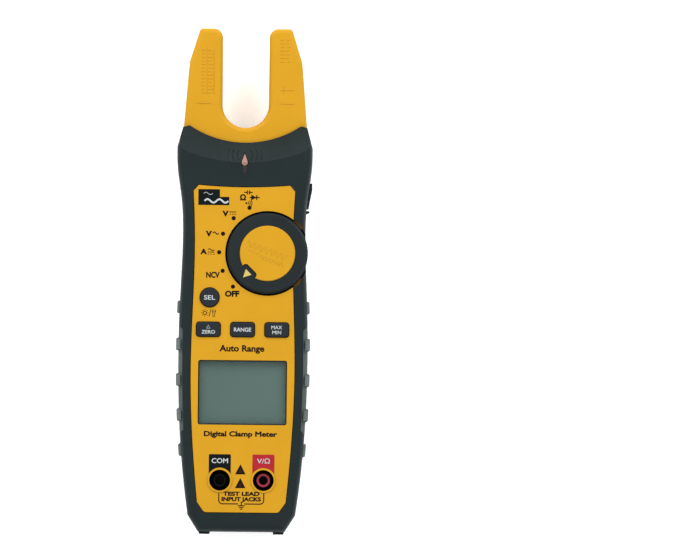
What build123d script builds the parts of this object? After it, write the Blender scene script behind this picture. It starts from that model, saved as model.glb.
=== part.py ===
"""Open-jaw clamp meter, lying on its back: +X right, +Y towards the fork, +Z out of the front."""
from build123d import *
import os
from math import cos, radians, sin

os.makedirs("parts", exist_ok=True)

# ---------------------------------------------------------------- driving dimensions, millimetres

# Whole meter
LENGTH = 220.8            # feet to fork tips
HEAD_HALF_WIDTH = 29.5    # widest part, at the shoulders
DEPTH = 36.0              # back plane to the rim round the faceplate
PARTING_Z = 12.0          # plane where the two housing halves meet
WALL = 2.8                # side walls
FACE_WALL = 2.0           # wall behind the faceplate
BACK_WALL = 3.0           # back wall, thick enough to sink the battery door
GAP = 0.3                 # clearance round loose or moving pieces
EDGE_RADIUS = 4.0         # outer front edges
BACK_RADIUS = 2.6         # outer back edges

# Plan outline, as half widths at distances above the feet
END_FACE_UP = 1.0
END_FACE_HALF = 18.9
END_CORNER = (23.5, 8.3)
WAIST_CURVE = ((26.4, 33.0), (28.1, 68.0), (27.7, 102.0), (26.7, 127.0), (27.5, 147.0))
SHOULDER_UP = (165.5, 168.8)
SHOULDER_ROUNDING = 5.0
HORN = (27.1, 177.6)      # where the shoulder meets the fork
HORN_TIP = (24.2, 178.2)
BLANK_TOP = (25.2, 185.0)

# Fork
SLOT_HALF = 10.15         # half the gap between the prongs
SLOT_BOTTOM_UP = 177.4
FORK_ARC_UP = 170.9       # lowest point of the visible yellow edge
FORK_Z = (12.0, 25.0)
FORK_MID_Z = 18.5
FORK_WALL = 1.8
TONGUE_HALF = 24.4        # root of the fork, clamped between the housing halves
TONGUE_UP = 155.0
FORK_FOOT_UP = 178.25
FORK_SIDE = ((26.95, 177.72), (25.0, 202.0), (24.6, 206.3), (20.4, 219.8), (19.5, 220.8))
FORK_SIDE_SHIFTS = (-1, 0, 0, 1, 1)     # how far each of them rises when the outline grows by 1
TIP_RADIUS = 4.0
BAR_X = 18.2              # raised alignment bars across the prongs
BAR_UP = 188.3
BAR_SIZE = (6.0, 0.6)
BAR_HEIGHT = 0.25

# Sloped collar between the front face and the fork
SLOPE_ARC_UP = 162.2      # middle of the collar's upper edge
SLOPE_SIDE_UP = 167.6     # its height at the shoulders
SLOPE_LIP = 1.5           # step between the collar and the fork
CAVITY_TOP_UP = 160.0
WAVES = ((3.4, 38), (5.4, 26), (7.4, 20))    # radius and half angle of each engraved wave
WAVES_UP = 165.2
WAVE_WIDTH = 0.5
WAVE_DEPTH = 0.35

# Faceplate
PANEL_Z = (34.4, 35.6)
PANEL_FOOT = (16.2, 9.6)
PANEL_HEAD = (19.9, 152.2)
PANEL_TOP_SAG = 0.9
PANEL_GROOVE = 0.35
PANEL_HALF_POINTS = ((19.3, 14.0), (21.3, 36.9), (22.6, 74.0), (21.3, 125.0), (22.1, 149.7))

# Rotary switch
KNOB_X = 10.35
KNOB_UP = 122.6
KNOB_RADIUS = 17.6
KNOB_TOP_RADIUS = 16.7
WELL_RADIUS = 18.5
WELL_FLOOR_Z = 30.8
KNOB_BOTTOM_Z = 31.1
KNOB_RIM_Z = 35.4
KNOB_TOP_Z = 37.4
CAP_RADIUS = 12.05
CAP_Z = (36.6, 38.0)
SHAFT_RADIUS = 4.0
SHAFT_CLEARANCE = 0.05
SEAL_RADIUS = 6.0
SEAL_DEPTH = 0.95
POINTER_ANGLE = 225.0     # towards the OFF mark
POINTER_REACH = (11.5, 14.9)    # base and tip of the pointer, from the knob's axis
POINTER_WIDTH = 3.5
TAB_REACH = 12.9
TAB_SIZE = (6.6, 7.4)
KNOB_FLUTES = 36
FLUTE_RADIUS = 0.95
DETENT_STEP = 22.5
DETENT_RADIUS = (9.0, 12.0)
DETENT_NOTCH = 1.1
DETENT_HEIGHT = 0.7
ROTOR_Z = (27.4, 28.0)
ROTOR_RADIUS = (6.0, 13.0)      # hub and rim
HUB_HEIGHT = 0.6
SPRING_RADIUS = (7.6, 8.4)
SPRING_BALL_RADIUS = 0.85
WIPER_REACH = 9.5
WIPER_SIZE = (2.4, 7.0)

# Push buttons
SELECT_X = -14.7
SELECT_UP = 103.2
SELECT_RADIUS = 4.15
KEY_X = (-15.1, -0.2, 14.7)
KEY_UP = 89.3
KEY_SIZE = (10.4, 6.2)
KEY_CORNER = 1.2
KEY_TOP_Z = 36.6
KEY_TRAVEL = 0.8
KEY_FLANGE = 1.0          # width of the flange under the front wall
KEY_FLANGE_Z = (31.35, 32.35)
KEY_SPOTS_UP = ((SELECT_X, SELECT_UP), *((x, KEY_UP) for x in KEY_X))
MAT_Z = (27.6, 28.4)
MAT_SIZE = (43.0, 10.0)
MAT_LOBE = 11.0           # width of the mat under the round key
MAT_DOME_RADIUS = 3.2
KEY_CONTACT_RADIUS = 2.8

# Side button
HOLD_UP = 147.7
HOLD_Z = 20.0
HOLD_SIZE = (11.4, 6.4)
HOLD_TOP = ((27.9, 142.0), (29.5, 150.5), (29.5, 153.4))    # wedge-shaped outer side
HOLD_FLANGE_X = (23.0, 24.0)
HOLD_SWITCH = (3.0, 6.0, 6.4)
HOLD_PLUNGER_RADIUS = 1.6
HOLD_STOP = ((26.0, 139.4), (28.3, 140.5), (28.3, 141.3), (26.0, 141.3))    # ridge below the button

# Main display
WINDOW_SIZE = (38.8, 28.2)
WINDOW_UP = 61.85
WINDOW_LEDGE = 0.6
LCD_SIZE = (42.0, 31.0)
LCD_Z = (30.4, 32.3)
BACKLIGHT_Z = (27.8, 30.2)

# End display
END_WINDOW_SIZE = (21.2, 13.5)
END_WINDOW_Z = 19.65
END_WINDOW_CORNER = 1.8
END_STACK_UP = 4.0        # front of the end display panel
RIB_X = 16.2              # ribs beside the end display, ending in the feet
RIB_SIZE = (4.6, 1.5)

# Input jacks, for 4 mm shrouded plugs on 3/4 inch centres
JACK_X = 9.5
JACK_UP = 23.6
JACK_SHROUD_RADIUS = 4.6
JACK_SLEEVE_RADIUS = 5.2
JACK_COLLAR_RADIUS = 5.3  # moulded collar on the faceplate
JACK_COLLAR_HEIGHT = 0.5
JACK_INSERT_RADIUS = 2.9
JACK_CONTACT_RADIUS = 2.3
JACK_BORE_RADIUS = 2.0
JACK_FLOOR_Z = 16.5
JACK_FLOOR = 2.5          # floor thickness of the sleeves
JACK_TOP_Z = 33.0         # top of the contacts
JACK_MOUTH = 0.6          # insulating rim over the contacts

# Side grips
GRIP_UP = (33.0, 103.0)
GRIP_Z = (4.5, 32.0)
GRIP_THICKNESS = 1.8
RIDGE_UPS = (36.6, 51.9, 67.2, 82.7, 98.9)
RIDGE_LENGTH = 5.5
RIDGE_HEIGHT = 1.05
BORDER_CUTBACK = ((24.0, 47.0), (32.0, 39.0), (32.0, 95.0), (24.0, 87.0))    # bares the grip

# Circuit board
BOARD_Z = (25.2, 26.8)
BOARD_INSET = 3.6
BOARD_UP = (10.0, 153.5)
BOARD_CHIPS = (
    (4.0, 104.0, 12.0, 12.0),
    (-12.0, 108.0, 8.0, 6.0),
    (15.0, 94.0, 6.0, 5.0),
    (-15.0, 94.0, 5.0, 5.0),
    (0.0, 34.0, 10.0, 5.0),
    (-4.0, 146.0, 7.0, 5.0),
)
BOARD_CAPACITORS = ((18.0, 106.0), (-19.0, 118.0), (19.0, 30.0), (6.0, 148.0))
BUZZER_SPOT = (-13.0, 128.0)
BUZZER_RADIUS = 6.0
BUZZER_HEIGHT = 3.2
BOARD_BOSS_RADIUS = 2.2
BOARD_PILOT_RADIUS = 0.9
BOARD_SCREWS = ((-21.0, 140.0), (14.0, 149.0), (-20.8, 37.5), (20.8, 37.5))

# Voltage-warning lens
LENS_Z = (30.0, 36.0)
LENS_UP = (162.1, 166.1)  # centre of the round end, and the tip
LENS_RADIUS = 1.35
LENS_GROOVE = 0.35
LENS_GROOVE_Z = 31.0
LED_UP = 162.6
LED_RADIUS = 1.2
LED_POCKET_WIDTH = 8.0

# Case screws
LOWER_SCREWS = ((-18.5, 14.0), (18.5, 14.0))
UPPER_SCREWS = ((-19.5, 161.0), (19.5, 161.0))
SCREW_RADIUS = 1.25
SCREW_HEAD_RADIUS = 2.7
BOSS_RADIUS = 3.1

# Battery bay, two AAA cells
BAY_UP = 59.0
TRAY_SIZE = (25.6, 53.4)
TRAY_Z = (3.0, 15.0)
TRAY_WALL = 1.2
CELL_RADIUS = 5.1
CELL_LENGTH = 44.5
CELL_X = 5.5
CELL_Z = 8.3
DOOR_UP = 57.0
DOOR_SIZE = (35.4, 65.4)
DOOR_THICKNESS = 1.5
DOOR_SCREW_UP = 28.3
DOOR_RECESS = 2.0

# Torch and rating label
TORCH_Z = 5.0
TORCH_RADIUS = 2.5
TORCH_UP = (160.2, 167.6)
LABEL_UP = 118.0
LABEL_SIZE = (34.0, 44.0)

# Well liner, seen only in the two scoops beside the knob
LINER_RADIUS = 19.9
LINER_TAB_RADIUS = (17.95, 19.3)
LINER_Z = (32.6, 33.4)
SCOOP_ANGLES = (36.0, 54.0)

# Current sensor inside the fork
FORK_ROUNDING = 2.0
FORK_SCREWS = ((-8.0, 160.0), (8.0, 160.0))
CORE_X = 17.5
CORE_WIDTH = 4.0
CORE_HEIGHT = 5.0
CORE_TOP_UP = 214.0
COIL_UP = (190.5, 207.0)
COIL_SECTION = (9.6, 8.2)
HALL_UP = 215.2
HALL_SIZE = (3.4, 1.5)


# ---------------------------------------------------------------- shared outlines

def up(distance):
    """Y of a point that stands this far above the feet."""
    return distance - LENGTH / 2


def at(x, distance):
    """Plan position from the centreline and the feet."""
    return (x, up(distance))


def level(z):
    """Plan plane at height z."""
    return Plane.XY.offset(z)


def body_outline(grow=0.0):
    """Plan outline of the housing with a plain top, grown or (negative) drawn in.

    Each corner moves so that both of its sides shift outwards by grow.
    """
    end = at(END_FACE_HALF + 0.55 * grow, END_FACE_UP - grow)
    corner = at(END_CORNER[0] + 0.96 * grow, END_CORNER[1] - 0.35 * grow)
    shoulder = HEAD_HALF_WIDTH + grow
    with BuildSketch() as outline:
        with BuildLine():
            Polyline((0, end[1]), end, corner)
            Spline(
                corner,
                *[at(x + grow, distance) for x, distance in WAIST_CURVE],
                at(shoulder, SHOULDER_UP[0]),
                tangents=[(0.14, 1), (0, 1)],
            )
            Polyline(
                at(shoulder, SHOULDER_UP[0]),
                at(shoulder, SHOULDER_UP[1]),
                at(HORN[0] + grow, HORN[1]),
                at(BLANK_TOP[0] + grow, BLANK_TOP[1]),
                at(0, BLANK_TOP[1]),
            )
            mirror(about=Plane.YZ)
        make_face()
        shoulders = outline.vertices().filter_by(lambda v: abs(v.Y - up(SHOULDER_UP[1])) < 0.01)
        fillet(shoulders, SHOULDER_ROUNDING)
    return outline.sketch


def body_band(outer, inner):
    """Strip that follows the housing's edge, between two offsets of its outline."""
    with BuildSketch() as band:
        add(body_outline(outer))
        add(body_outline(inner), mode=Mode.SUBTRACT)
    return band.sketch


def body_slice(grow, low, high):
    """Housing outline between two distances above the feet."""
    with BuildSketch() as piece:
        add(body_outline(grow))
        with Locations(at(0, (low + high) / 2)):
            Rectangle(3 * HEAD_HALF_WIDTH, high - low, mode=Mode.INTERSECT)
    return piece.sketch


def above_arc(middle_up, side_x, side_up):
    """Area beyond an arc that sags to middle_up and passes side_up at side_x."""
    sag = side_up - middle_up
    radius = (side_x ** 2 + sag ** 2) / (2 * sag)
    reach = 1.1 * HEAD_HALF_WIDTH
    end_up = middle_up + radius - (radius ** 2 - reach ** 2) ** 0.5
    with BuildSketch() as area:
        with BuildLine():
            ThreePointArc(at(-reach, end_up), at(0, middle_up), at(reach, end_up))
            Polyline(at(reach, end_up), at(reach, LENGTH), at(-reach, LENGTH), at(-reach, end_up))
        make_face()
    return area.sketch


def beyond_horns():
    """Area above the head's upper edge, where the fork comes out."""
    with BuildSketch() as area:
        with BuildLine():
            ThreePointArc(at(-HORN_TIP[0], HORN_TIP[1]), at(0, FORK_ARC_UP), at(*HORN_TIP))
            Polyline(
                at(*HORN_TIP),
                at(*HORN),
                at(HEAD_HALF_WIDTH, HORN[1]),
                at(HEAD_HALF_WIDTH, LENGTH),
                at(-HEAD_HALF_WIDTH, LENGTH),
                at(-HEAD_HALF_WIDTH, HORN[1]),
                at(-HORN[0], HORN[1]),
                at(-HORN_TIP[0], HORN_TIP[1]),
            )
        make_face()
    return area.sketch


def tongue_outline(grow=0.0):
    """Root of the fork, which is clamped between the housing halves."""
    half = TONGUE_HALF + grow
    with BuildSketch() as tongue:
        with Locations(at(0, (TONGUE_UP - grow + LENGTH) / 2)):
            Rectangle(2 * half, LENGTH - TONGUE_UP + grow)
    return tongue.sketch


def fork_outline(grow=0.0):
    """Plan outline of the fork and its tongue, grown or (negative) drawn in point by point."""
    slot_centre_up = SLOT_BOTTOM_UP + SLOT_HALF
    slot_half = SLOT_HALF - grow
    tongue_half = TONGUE_HALF + grow
    tip_up = FORK_SIDE[-1][1] + grow
    sides = zip(FORK_SIDE, FORK_SIDE_SHIFTS)
    with BuildSketch() as fork:
        with BuildLine():
            Polyline(
                at(0, TONGUE_UP - grow),
                at(tongue_half, TONGUE_UP - grow),
                at(tongue_half, FORK_FOOT_UP - grow),
                *[at(x + grow, distance + shift * grow) for (x, distance), shift in sides],
                at(slot_half, tip_up),
                at(slot_half, slot_centre_up),
            )
            mirror(about=Plane.YZ)
            ThreePointArc(
                at(-slot_half, slot_centre_up),
                at(0, SLOT_BOTTOM_UP + grow),
                at(slot_half, slot_centre_up),
            )
        make_face()
        inner_tips = fork.vertices().filter_by(
            lambda v: abs(abs(v.X) - slot_half) < 0.01 and abs(v.Y - up(tip_up)) < 0.01
        )
        fillet(inner_tips, TIP_RADIUS + grow)
    return fork.sketch


def panel_outline(grow=0.0):
    """Plan outline of the yellow faceplate, grown by moving each corner outwards."""
    low, *sides, high = [at(x + grow, distance) for x, distance in PANEL_HALF_POINTS]
    foot = at(PANEL_FOOT[0] + 0.5 * grow, PANEL_FOOT[1] - grow)
    head = at(PANEL_HEAD[0] + 0.5 * grow, PANEL_HEAD[1] + grow)
    with BuildSketch() as panel:
        with BuildLine():
            Polyline((0, foot[1]), foot, low)
            Spline(low, *sides, high, tangents=[(0.1, 1), (0.06, 1)])
            Line(high, head)
            mirror(about=Plane.YZ)
            ThreePointArc((-head[0], head[1]), (0, head[1] - PANEL_TOP_SAG), head)
        make_face()
        corners = panel.vertices().filter_by(lambda v: v.Y < foot[1] + 0.1 and abs(v.X) > 1)
        fillet(corners, 2.0)
    return panel.sketch


def well_crescent(inner, outer):
    """Ring round the knob's axis, kept inside the housing on the open side of the well."""
    with BuildSketch() as crescent:
        with Locations(KNOB):
            Circle(outer)
        with BuildLine():
            Polyline(KNOB, at(44, 165), at(44, 81), close=True)
        make_face(mode=Mode.INTERSECT)
        add(body_outline(-0.6), mode=Mode.INTERSECT)
        with Locations(KNOB):
            Circle(inner, mode=Mode.SUBTRACT)
    return crescent.sketch


def scoop_outlines():
    """Two short crescents, above and below the knob's outer edge."""
    low, high = (radians(angle) for angle in SCOOP_ANGLES)
    reach = 30.0
    with BuildSketch() as scoops:
        for side in (1, -1):
            with BuildLine():
                Polyline(
                    KNOB,
                    (KNOB[0] + reach * cos(low), KNOB[1] + side * reach * sin(low)),
                    (KNOB[0] + reach * cos(high), KNOB[1] + side * reach * sin(high)),
                    close=True,
                )
            make_face()
        add(well_crescent(*LINER_TAB_RADIUS), mode=Mode.INTERSECT)
    return scoops.sketch


def key_holes(grow):
    """The four push-button openings, grown from the caps' own outlines."""
    with BuildSketch() as holes:
        with Locations(*[at(x, KEY_UP) for x in KEY_X]):
            RectangleRounded(KEY_SIZE[0] + 2 * grow, KEY_SIZE[1] + 2 * grow, KEY_CORNER + grow)
        with Locations(at(SELECT_X, SELECT_UP)):
            Circle(SELECT_RADIUS + grow)
    return holes.sketch


def lens_outline(grow=0.0):
    """Voltage-warning lens: round towards the faceplate, pointed towards the fork."""
    centre_up, tip_up = LENS_UP
    side = 0.92 * LENS_RADIUS + grow
    with BuildSketch() as lens:
        with Locations(at(0, centre_up)):
            Circle(LENS_RADIUS + grow)
        with BuildLine():
            Polyline(
                at(-side, centre_up + 0.6),
                at(0, tip_up + 2 * grow),
                at(side, centre_up + 0.6),
                close=True,
            )
        make_face()
    return lens.sketch


def collar_space(drop=0.0):
    """Space in front of the sloped collar, moved back by drop."""
    with BuildPart() as space:
        with BuildSketch(level(HEAD_LIP_Z - drop)):
            add(above_arc(FORK_ARC_UP, *HORN_TIP))
        with BuildSketch(level(DEPTH + 0.01 - drop)):
            add(above_arc(SLOPE_ARC_UP, HORN[0], SLOPE_SIDE_UP))
        loft()
    return space.part


def wave_marks():
    """Engraved arcs on both sides of the lens, of even depth below the sloped collar."""
    with BuildPart() as waves:
        with BuildSketch(level(HEAD_LIP_Z)):
            for radius, spread in WAVES:
                for side in (0, 180):
                    wave = CenterArc(at(0, WAVES_UP), radius, side - spread, 2 * spread, mode=Mode.PRIVATE)
                    SlotArc(wave, WAVE_WIDTH)
        extrude(amount=DEPTH - HEAD_LIP_Z)
        add(collar_space(WAVE_DEPTH), mode=Mode.INTERSECT)
    return waves.part


def jack_spots():
    """Both input jacks."""
    return Locations(at(-JACK_X, JACK_UP), at(JACK_X, JACK_UP))


def end_ribs():
    """Centres of the two ribs at the feet."""
    return Locations(at(-RIB_X, RIB_SIZE[1] / 2), at(RIB_X, RIB_SIZE[1] / 2))


def side_rows(spots):
    """Plan locations from (x, distance) pairs."""
    return Locations(*[at(x, distance) for x, distance in spots])


def pointer_tab(grow):
    """Rounded tab on the knob's ring that carries the pointer and bites into the cap."""
    with BuildSketch(Plane.XY) as tab:
        with Locations(Location((*KNOB, 0), (0, 0, POINTER_ANGLE))):
            with Locations((TAB_REACH, 0)):
                RectangleRounded(TAB_SIZE[0] + 2 * grow, TAB_SIZE[1] + 2 * grow, 1.5)
        with Locations(KNOB):
            Circle(CAP_RADIUS + 1.2, mode=Mode.INTERSECT)
    return tab.sketch


def pointer_mark():
    """Triangle on the tab, pointing outwards."""
    base, tip = POINTER_REACH
    corners = [(base, -POINTER_WIDTH / 2), (tip, 0), (base, POINTER_WIDTH / 2)]
    with BuildSketch(Plane.XY) as mark:
        with Locations(Location((*KNOB, 0), (0, 0, POINTER_ANGLE))):
            Polygon(*corners, align=None)
    return mark.sketch


KNOB = at(KNOB_X, KNOB_UP)
KEY_SPOTS = [at(x, distance) for x, distance in KEY_SPOTS_UP]
HEAD_LIP_Z = FORK_Z[1] + SLOPE_LIP
BACK_LIP_Z = FORK_Z[0] - SLOPE_LIP
FACE_Z = PANEL_Z[0] - FACE_WALL     # underside of the wall behind the faceplate

# ---------------------------------------------------------------- housing

with BuildPart() as front_case:
    with BuildSketch(level(PARTING_Z)):
        add(body_outline())
    extrude(amount=DEPTH - PARTING_Z)
    rim = front_case.faces().sort_by(Axis.Z)[-1].edges().filter_by(lambda e: e.center().Y < up(184))
    fillet(rim, EDGE_RADIUS)
    # head: upper edge, sloped collar and the pocket for the fork
    with BuildSketch(level(PARTING_Z)):
        add(beyond_horns())
    extrude(amount=DEPTH, mode=Mode.SUBTRACT)
    add(collar_space(), mode=Mode.SUBTRACT)
    with BuildSketch(level(PARTING_Z)):
        add(tongue_outline(0.15))
    extrude(amount=FORK_Z[1] + 0.05 - PARTING_Z, mode=Mode.SUBTRACT)
    # cavity for the board and display
    with BuildSketch(level(PARTING_Z)):
        add(body_slice(-WALL, END_FACE_UP + WALL, CAVITY_TOP_UP))
    extrude(amount=FACE_Z - PARTING_Z, mode=Mode.SUBTRACT)
    # well of the rotary switch: solid first, then sunk from the front
    with BuildSketch(level(WELL_FLOOR_Z - FACE_WALL)):
        add(body_outline(-0.5))
        with Locations(KNOB):
            Circle(WELL_RADIUS + FACE_WALL, mode=Mode.INTERSECT)
    extrude(amount=FACE_Z - WELL_FLOOR_Z + FACE_WALL)
    with BuildSketch(level(WELL_FLOOR_Z)):
        with Locations(KNOB):
            Circle(WELL_RADIUS)
    extrude(amount=DEPTH - WELL_FLOOR_Z, mode=Mode.SUBTRACT)
    with BuildSketch(level(WELL_FLOOR_Z - FACE_WALL)):
        with Locations(KNOB):
            Circle(SHAFT_RADIUS + SHAFT_CLEARANCE)
    extrude(amount=FACE_WALL, mode=Mode.SUBTRACT)
    with BuildSketch(level(WELL_FLOOR_Z - SEAL_DEPTH)):
        with Locations(KNOB):
            Circle(SEAL_RADIUS)
    extrude(amount=SEAL_DEPTH, mode=Mode.SUBTRACT)
    # groove for the liner, uncovered in a scoop above and below the knob's outer edge
    with BuildSketch(level(LINER_Z[0])):
        add(well_crescent(WELL_RADIUS, LINER_RADIUS))
    extrude(amount=LINER_Z[1] - LINER_Z[0], mode=Mode.SUBTRACT)
    with BuildSketch(level(LINER_Z[1])):
        add(scoop_outlines())
    extrude(amount=DEPTH - LINER_Z[1], mode=Mode.SUBTRACT)
    # faceplate pocket and the openings behind it
    with BuildSketch(level(PANEL_Z[0])):
        add(panel_outline(PANEL_GROOVE))
    extrude(amount=DEPTH - PANEL_Z[0], mode=Mode.SUBTRACT)
    with BuildSketch(level(FACE_Z)):
        add(key_holes(GAP))
        with jack_spots():
            Circle(JACK_SLEEVE_RADIUS)
        with Locations(at(0, WINDOW_UP)):
            Rectangle(WINDOW_SIZE[0] - 2 * WINDOW_LEDGE, WINDOW_SIZE[1] - 2 * WINDOW_LEDGE)
    extrude(amount=FACE_WALL, mode=Mode.SUBTRACT)
    # warning lens, its outlining groove, the waves beside it and the pocket for its lamp
    with BuildSketch(level(FORK_Z[1])):
        add(lens_outline())
    extrude(amount=DEPTH - FORK_Z[1], mode=Mode.SUBTRACT)
    with BuildSketch(level(LENS_GROOVE_Z)):
        add(lens_outline(LENS_GROOVE))
    extrude(amount=DEPTH - LENS_GROOVE_Z, mode=Mode.SUBTRACT)
    add(wave_marks(), mode=Mode.SUBTRACT)
    with BuildSketch(level(FORK_Z[1])):
        with Locations(at(0, (CAVITY_TOP_UP + LED_UP) / 2)):
            Rectangle(LED_POCKET_WIDTH, LED_UP - CAVITY_TOP_UP + 6)
    extrude(amount=LENS_Z[0] - FORK_Z[1] - 1.2, mode=Mode.SUBTRACT)
    # side recesses for the grips, with the front border cut back beside them
    with BuildSketch(level(PARTING_Z)):
        add(body_band(GRIP_THICKNESS, -GRIP_THICKNESS))
        with Locations(at(0, sum(GRIP_UP) / 2)):
            Rectangle(3 * HEAD_HALF_WIDTH, GRIP_UP[1] - GRIP_UP[0], mode=Mode.INTERSECT)
    extrude(amount=GRIP_Z[1] - PARTING_Z, mode=Mode.SUBTRACT)
    with BuildSketch(level(GRIP_Z[1])):
        with BuildLine():
            Polyline(*[at(x, distance) for x, distance in BORDER_CUTBACK], close=True)
        make_face()
        mirror(about=Plane.YZ)
        add(body_band(GRIP_THICKNESS, -GRIP_THICKNESS), mode=Mode.INTERSECT)
    extrude(amount=DEPTH - GRIP_Z[1], mode=Mode.SUBTRACT)
    # bosses for the case screws and the board screws
    with BuildSketch(level(PARTING_Z + 0.1)):
        with side_rows(LOWER_SCREWS + UPPER_SCREWS):
            Circle(BOSS_RADIUS)
    extrude(amount=FACE_Z - PARTING_Z - 0.1)
    with BuildSketch(level(PARTING_Z + 0.1)):
        with side_rows(LOWER_SCREWS + UPPER_SCREWS):
            Circle(SCREW_RADIUS)
    extrude(amount=FORK_Z[1] - PARTING_Z, mode=Mode.SUBTRACT)
    with BuildSketch(level(BOARD_Z[1])):
        with side_rows(BOARD_SCREWS):
            Circle(BOARD_BOSS_RADIUS)
            Circle(BOARD_PILOT_RADIUS, mode=Mode.SUBTRACT)
    extrude(amount=FACE_Z - BOARD_Z[1])
    # ridge below the side button, then the button's and the end display's openings
    with BuildSketch(level(PARTING_Z)):
        with BuildLine():
            Polyline(*[at(x, distance) for x, distance in HOLD_STOP], close=True)
        make_face()
    extrude(amount=HOLD_Z + HOLD_SIZE[1] / 2 - PARTING_Z)
    with BuildSketch(Plane.YZ.offset(HEAD_HALF_WIDTH / 2)):
        with Locations((up(HOLD_UP), HOLD_Z)):
            RectangleRounded(HOLD_SIZE[0] + 2 * GAP, HOLD_SIZE[1] + 2 * GAP, GAP)
    extrude(amount=HEAD_HALF_WIDTH, mode=Mode.SUBTRACT)
    with BuildSketch(Plane.XZ.offset(-up(END_FACE_UP + WALL))):
        with Locations((0, END_WINDOW_Z)):
            RectangleRounded(END_WINDOW_SIZE[0] - 1.4, END_WINDOW_SIZE[1] - 1.4, END_WINDOW_CORNER)
    extrude(amount=WALL, mode=Mode.SUBTRACT)
    with BuildSketch(Plane.XZ.offset(-up(END_FACE_UP + 1.2))):
        with Locations((0, END_WINDOW_Z)):
            RectangleRounded(*END_WINDOW_SIZE, END_WINDOW_CORNER)
    extrude(amount=1.2, mode=Mode.SUBTRACT)
    # raised ribs beside the end display, ending in the feet
    with BuildSketch(level(PARTING_Z)):
        with end_ribs():
            Rectangle(*RIB_SIZE)
    extrude(amount=DEPTH - EDGE_RADIUS - PARTING_Z)
front_case.part.label = "front_case"
export_step(front_case.part, "parts/front_case.step")

with BuildPart() as rear_case:
    with BuildSketch(level(0)):
        add(body_outline())
    extrude(amount=PARTING_Z)
    back_edges = rear_case.faces().sort_by(Axis.Z)[0].edges().filter_by(lambda e: e.center().Y < up(184))
    fillet(back_edges, BACK_RADIUS)
    with BuildSketch(level(0)):
        add(beyond_horns())
    extrude(amount=PARTING_Z, mode=Mode.SUBTRACT)
    with BuildSketch(level(BACK_WALL)):
        add(body_slice(-WALL, END_FACE_UP + WALL, CAVITY_TOP_UP))
    extrude(amount=PARTING_Z - BACK_WALL, mode=Mode.SUBTRACT)
    with BuildSketch(level(GRIP_Z[0])):
        add(body_band(GRIP_THICKNESS, -GRIP_THICKNESS))
        with Locations(at(0, sum(GRIP_UP) / 2)):
            Rectangle(3 * HEAD_HALF_WIDTH, GRIP_UP[1] - GRIP_UP[0], mode=Mode.INTERSECT)
    extrude(amount=PARTING_Z - GRIP_Z[0], mode=Mode.SUBTRACT)
    # case-screw bosses, counterbored from the back
    with BuildSketch(level(BACK_WALL)):
        with side_rows(LOWER_SCREWS + UPPER_SCREWS):
            Circle(BOSS_RADIUS + 1)
    extrude(amount=PARTING_Z - BACK_WALL)
    with BuildSketch(level(0)):
        with side_rows(LOWER_SCREWS + UPPER_SCREWS):
            Circle(SCREW_HEAD_RADIUS + GAP)
    extrude(amount=4.0, mode=Mode.SUBTRACT)
    with BuildSketch(level(4.0)):
        with side_rows(LOWER_SCREWS + UPPER_SCREWS):
            Circle(SCREW_RADIUS + 0.2)
    extrude(amount=PARTING_Z - 4.0, mode=Mode.SUBTRACT)
    # door recess, battery opening and the boss for the door screw
    with BuildSketch(level(0)):
        with Locations(at(0, DOOR_UP)):
            RectangleRounded(DOOR_SIZE[0] + 2 * GAP, DOOR_SIZE[1] + 2 * GAP, 3 + GAP)
    extrude(amount=DOOR_RECESS, mode=Mode.SUBTRACT)
    with BuildSketch(level(DOOR_RECESS)):
        with Locations(at(0, BAY_UP)):
            Rectangle(TRAY_SIZE[0] + 0.6, TRAY_SIZE[1] + 0.6)
    extrude(amount=BACK_WALL - DOOR_RECESS, mode=Mode.SUBTRACT)
    with BuildSketch(level(BACK_WALL)):
        with Locations(at(0, DOOR_SCREW_UP)):
            Circle(2.8)
    extrude(amount=6)
    with BuildSketch(level(DOOR_RECESS)):
        with Locations(at(0, DOOR_SCREW_UP)):
            Circle(SCREW_RADIUS + 0.05)
    extrude(amount=BACK_WALL - DOOR_RECESS + 6, mode=Mode.SUBTRACT)
    # torch opening under the fork, shallow recess for the rating label, end ribs
    with BuildSketch(Plane.XZ.offset(-up(FORK_ARC_UP))):
        with Locations((0, TORCH_Z)):
            Circle(TORCH_RADIUS)
    extrude(amount=FORK_ARC_UP - CAVITY_TOP_UP + 1, mode=Mode.SUBTRACT)
    with BuildSketch(level(0)):
        with Locations(at(0, LABEL_UP)):
            RectangleRounded(LABEL_SIZE[0] + 0.4, LABEL_SIZE[1] + 0.4, 1.7)
    extrude(amount=0.4, mode=Mode.SUBTRACT)
    with BuildSketch(level(EDGE_RADIUS)):
        with end_ribs():
            Rectangle(*RIB_SIZE)
    extrude(amount=PARTING_Z - EDGE_RADIUS)
    with BuildSketch(level(-0.01)):
        add(above_arc(SLOPE_ARC_UP, HORN[0], SLOPE_SIDE_UP))
    with BuildSketch(level(BACK_LIP_Z)):
        add(above_arc(FORK_ARC_UP, *HORN_TIP))
    loft(mode=Mode.SUBTRACT)
rear_case.part.label = "rear_case"
export_step(rear_case.part, "parts/rear_case.step")

with BuildPart() as front_panel:
    with BuildSketch(level(PANEL_Z[0])):
        add(panel_outline())
        add(key_holes(GAP), mode=Mode.SUBTRACT)
        with Locations(KNOB):
            Circle(WELL_RADIUS, mode=Mode.SUBTRACT)
        with Locations(at(0, WINDOW_UP)):
            RectangleRounded(*WINDOW_SIZE, 1.0, mode=Mode.SUBTRACT)
        with jack_spots():
            Circle(JACK_SHROUD_RADIUS, mode=Mode.SUBTRACT)
    extrude(amount=PANEL_Z[1] - PANEL_Z[0])
    with BuildSketch(level(PANEL_Z[1])):
        with jack_spots():
            Circle(JACK_COLLAR_RADIUS)
            Circle(JACK_SHROUD_RADIUS, mode=Mode.SUBTRACT)
    extrude(amount=JACK_COLLAR_HEIGHT)
front_panel.part.label = "front_panel"
export_step(front_panel.part, "parts/front_panel.step")


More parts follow.
